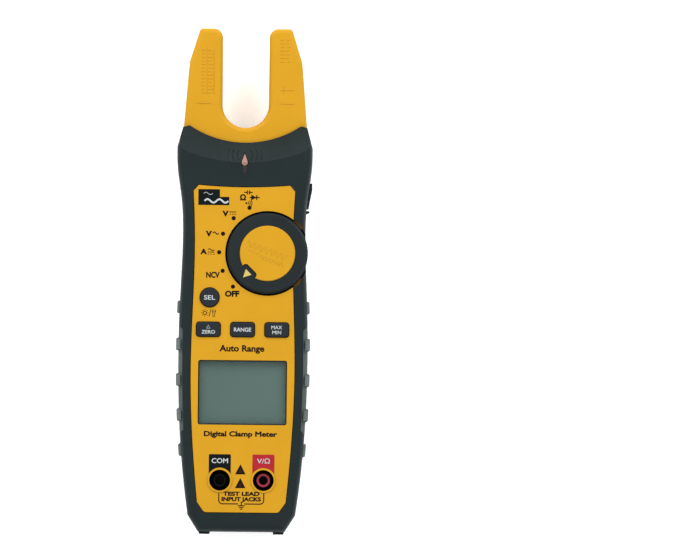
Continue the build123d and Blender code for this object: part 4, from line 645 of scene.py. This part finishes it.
bracket = Sheet("jack_bracket", between, FACE_Z, INK_DARK, "housing")
REACH, DROP, TURN = 9.8, -10.3, 1.6    # half width of the bracket, height of its foot, corner radius
BRACKET_TOP = -5.6
BRACKET_GAP = 1.4          # half the gap in the middle of its foot
for side in (-1, 1):
    path = [(side * REACH, BRACKET_TOP), (side * REACH, DROP + TURN)]
    start, end = (180, 270) if side < 0 else (0, -90)
    corner = arc(side * (REACH - TURN), DROP + TURN, TURN, start, end, 6)
    bracket.line(path + corner + [(side * BRACKET_GAP, DROP)], 0.62)
bracket.line([(0.0, -9.3), (0.0, -11.0)], 0.55)
bracket.line([(-1.5, -11.1), (1.5, -11.1)], 0.6)
bracket.line([(-0.95, -11.9), (0.95, -11.9)], 0.55)
bracket.line([(-0.45, -12.6), (0.45, -12.6)], 0.5)
bracket.words("TEST LEAD", 0.0, -5.85, 15.9, 1.9, 0.05)
bracket.words("INPUT JACKS", 0.0, -8.2, 17.2, 1.9, 0.05)
bracket.finish_piece()

# ---------------------------------------------------------------- key legends, each on its own key

select_legend = Sheet("select_legend", SELECT, top("select_button"), INK_WHITE, "select_key", proud=LEGEND)
select_legend.words("SEL", 0.0, 0.0, 4.9, 2.0, 0.015)
select_legend.finish_piece()
zero_legend = Sheet("zero_legend", ZERO, top("zero_button"), INK_WHITE, "zero_key", proud=LEGEND)
zero_legend.line([(-0.8, 0.45), (0.8, 0.45), (0.0, 1.85)], 0.36, True)
zero_legend.words("ZERO", 0.0, -1.1, 5.9, 1.6, 0.02)
zero_legend.finish_piece()
range_legend = Sheet("range_legend", RANGE, top("range_button"), INK_WHITE, "range_key", proud=LEGEND)
range_legend.words("RANGE", 0.0, 0.0, 7.5, 1.8, 0.025)
range_legend.finish_piece()
maxmin_legend = Sheet("maxmin_legend", MAXMIN, top("maxmin_button"), INK_WHITE, "maxmin_key", proud=LEGEND)
maxmin_legend.words("MAX", 0.0, 1.1, 4.7, 1.55, 0.015)
maxmin_legend.words("MIN", 0.0, -1.1, 3.9, 1.55, 0.015)
maxmin_legend.finish_piece()

# ---------------------------------------------------------------- brown stem printed below the warning lens

stem = Sheet("lens_stem", (0.0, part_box("ncv_lens")[0].y), top("front_case"), INK_STEM, "housing")
stem.plate([(-0.8, -0.2), (-0.5, -3.2), (0.5, -3.2), (0.8, -0.2)])
stem.finish_piece()

# ---------------------------------------------------------------- raised marks on the fork and the knob cap

BAR_HEIGHT = 0.25 * MM     # bars across the prongs, the highest points of the fork's front shell
FORK_FACE = top("fork_front_shell") - BAR_HEIGHT
FORK_RELIEF = 0.2 * MM
FORK_STROKE = 0.4
LEFT_ROWS, LEFT_START, LEFT_PITCH = 13, 192.6, 1.55       # heights from the meter's lower end
RIGHT_ROWS, RIGHT_START, RIGHT_PITCH = 7, 206.4, 1.6
MOULDED_YELLOW = FINISHES["yellow_plastic"]
prongs = Sheet("fork_marks", (0.0, FEET_Y), FORK_FACE, MOULDED_YELLOW, "housing", proud=FORK_RELIEF)
for i in range(LEFT_ROWS):
    y = LEFT_START + LEFT_PITCH * i
    prongs.line([(-19.3, y), (-17.6 - 0.5 * (i % 2), y)], FORK_STROKE)
    prongs.line([(-16.3, y), (-14.4 - 0.6 * (i % 3 == 0), y)], FORK_STROKE)
for x in (-16.9, -13.9):
    prongs.line([(x, 192.0), (x, 211.8)], FORK_STROKE)
for i in range(RIGHT_ROWS):
    y = RIGHT_START + RIGHT_PITCH * i
    prongs.line([(15.0, y), (16.6 + 0.5 * (i % 2), y)], FORK_STROKE)
    prongs.line([(17.8, y), (19.2 - 0.4 * (i % 2), y)], FORK_STROKE)
prongs.line([(15.4, 194.0), (21.0, 194.0)], 0.45)
prongs.line([(16.6, 195.6), (16.6, 192.4)], 0.45)
prongs.finish_piece()

CAP_RELIEF = 0.12 * MM
CAP_TILT = Matrix.Rotation(radians(-20.0), 4, "Z")
cap = Sheet("cap_relief", KNOB, top("knob_cap"), MOULDED_YELLOW, "selector", proud=CAP_RELIEF)
cap.line(moved(wave(18.5, 1.3, 7.5, 150), -0.6, 1.3), 0.5, matrix=CAP_TILT)
cap.line(moved(wave(11.0, 0.9, 6.0, 120), 3.0, -2.3), 0.45, matrix=CAP_TILT)
cap.line([(-8.2, -1.4), (-3.4, -1.4)], 0.45, matrix=CAP_TILT)
cap.finish_piece()

# ---------------------------------------------------------------- camera, lights and floor

VIEW_WIDTH = 306.25 * MM   # width of the view at the object's mid height
LENS = 500.0               # long, so there is hardly any perspective
SENSOR = 36.0
AIM = (46.4 * MM, 1.0 * MM)    # point under the camera: the meter is left of the picture's middle
ROLL = radians(0.6)

low, high = cad_box
camera_data = bpy.data.cameras.new("camera")
camera_data.lens = LENS
camera_data.sensor_width = SENSOR
camera_data.clip_end = 100.0
camera = bpy.data.objects.new("camera", camera_data)
bpy.context.scene.collection.objects.link(camera)
camera.location = (*AIM, (low.z + high.z) / 2 + LENS / SENSOR * VIEW_WIDTH)
camera.rotation_euler = (0.0, 0.0, ROLL)
bpy.context.scene.camera = camera

LIGHT_SIZE = 0.9
LIGHT_AIM = Vector((0, 0, 0.02))
HEAD_POWER = 17.8          # watts of each light past the fork
FOOT_POWER = 5.2           # watts of each light past the jacks
SKY_COLOUR = (0.97, 0.98, 1.0, 1.0)
SKY_STRENGTH = 0.92


def softbox(name, place, power):
    """A square light turned towards the meter."""
    data = bpy.data.lights.new(name, "AREA")
    data.shape = "SQUARE"
    data.size = LIGHT_SIZE
    data.energy = power
    light = bpy.data.objects.new(name, data)
    bpy.context.scene.collection.objects.link(light)
    light.location = place
    light.rotation_euler = (LIGHT_AIM - Vector(place)).to_track_quat("-Z", "Y").to_euler()


for side in (-1, 1):
    softbox("head_light", (side * 0.7, 0.95, 0.95), HEAD_POWER)
    softbox("foot_light", (side * 0.8, -0.9, 1.2), FOOT_POWER)

world = bpy.data.worlds.new("studio")
world.use_nodes = True
sky = world.node_tree.nodes["Background"]
sky.inputs["Color"].default_value = SKY_COLOUR
sky.inputs["Strength"].default_value = SKY_STRENGTH
bpy.context.scene.world = world
bpy.context.scene.view_settings.view_transform = "Standard"

FLOOR = 30.0               # half the side of the white sheet under the meter
FLOOR_GAP = 0.02 * MM
FLOOR_GLOW = 0.25          # light given off by the sheet, which keeps it a clean white
floor_mesh = bpy.data.meshes.new("floor")
floor_mesh.from_pydata(
    [(-FLOOR, -FLOOR, 0), (FLOOR, -FLOOR, 0), (FLOOR, FLOOR, 0), (-FLOOR, FLOOR, 0)], [], [(0, 1, 2, 3)]
)
floor = bpy.data.objects.new("floor", floor_mesh)
bpy.context.scene.collection.objects.link(floor)
floor.location.z = low.z - FLOOR_GAP
floor_finish = Nodes("floor_finish")
clouding = floor_finish.ranged(floor_finish.noise(20.0), 0.0, 1.0)
paper = floor_finish.blend(clouding, (0.94, 0.94, 0.935), (0.96, 0.96, 0.955))
floor_finish.link(paper, floor_finish.shader.inputs["Base Color"])
floor_finish.plain(
    Roughness=0.9, Specular_IOR_Level=0.1, Emission_Color=(1.0, 1.0, 1.0, 1.0), Emission_Strength=FLOOR_GLOW
)
floor_mesh.materials.append(floor_finish.material)
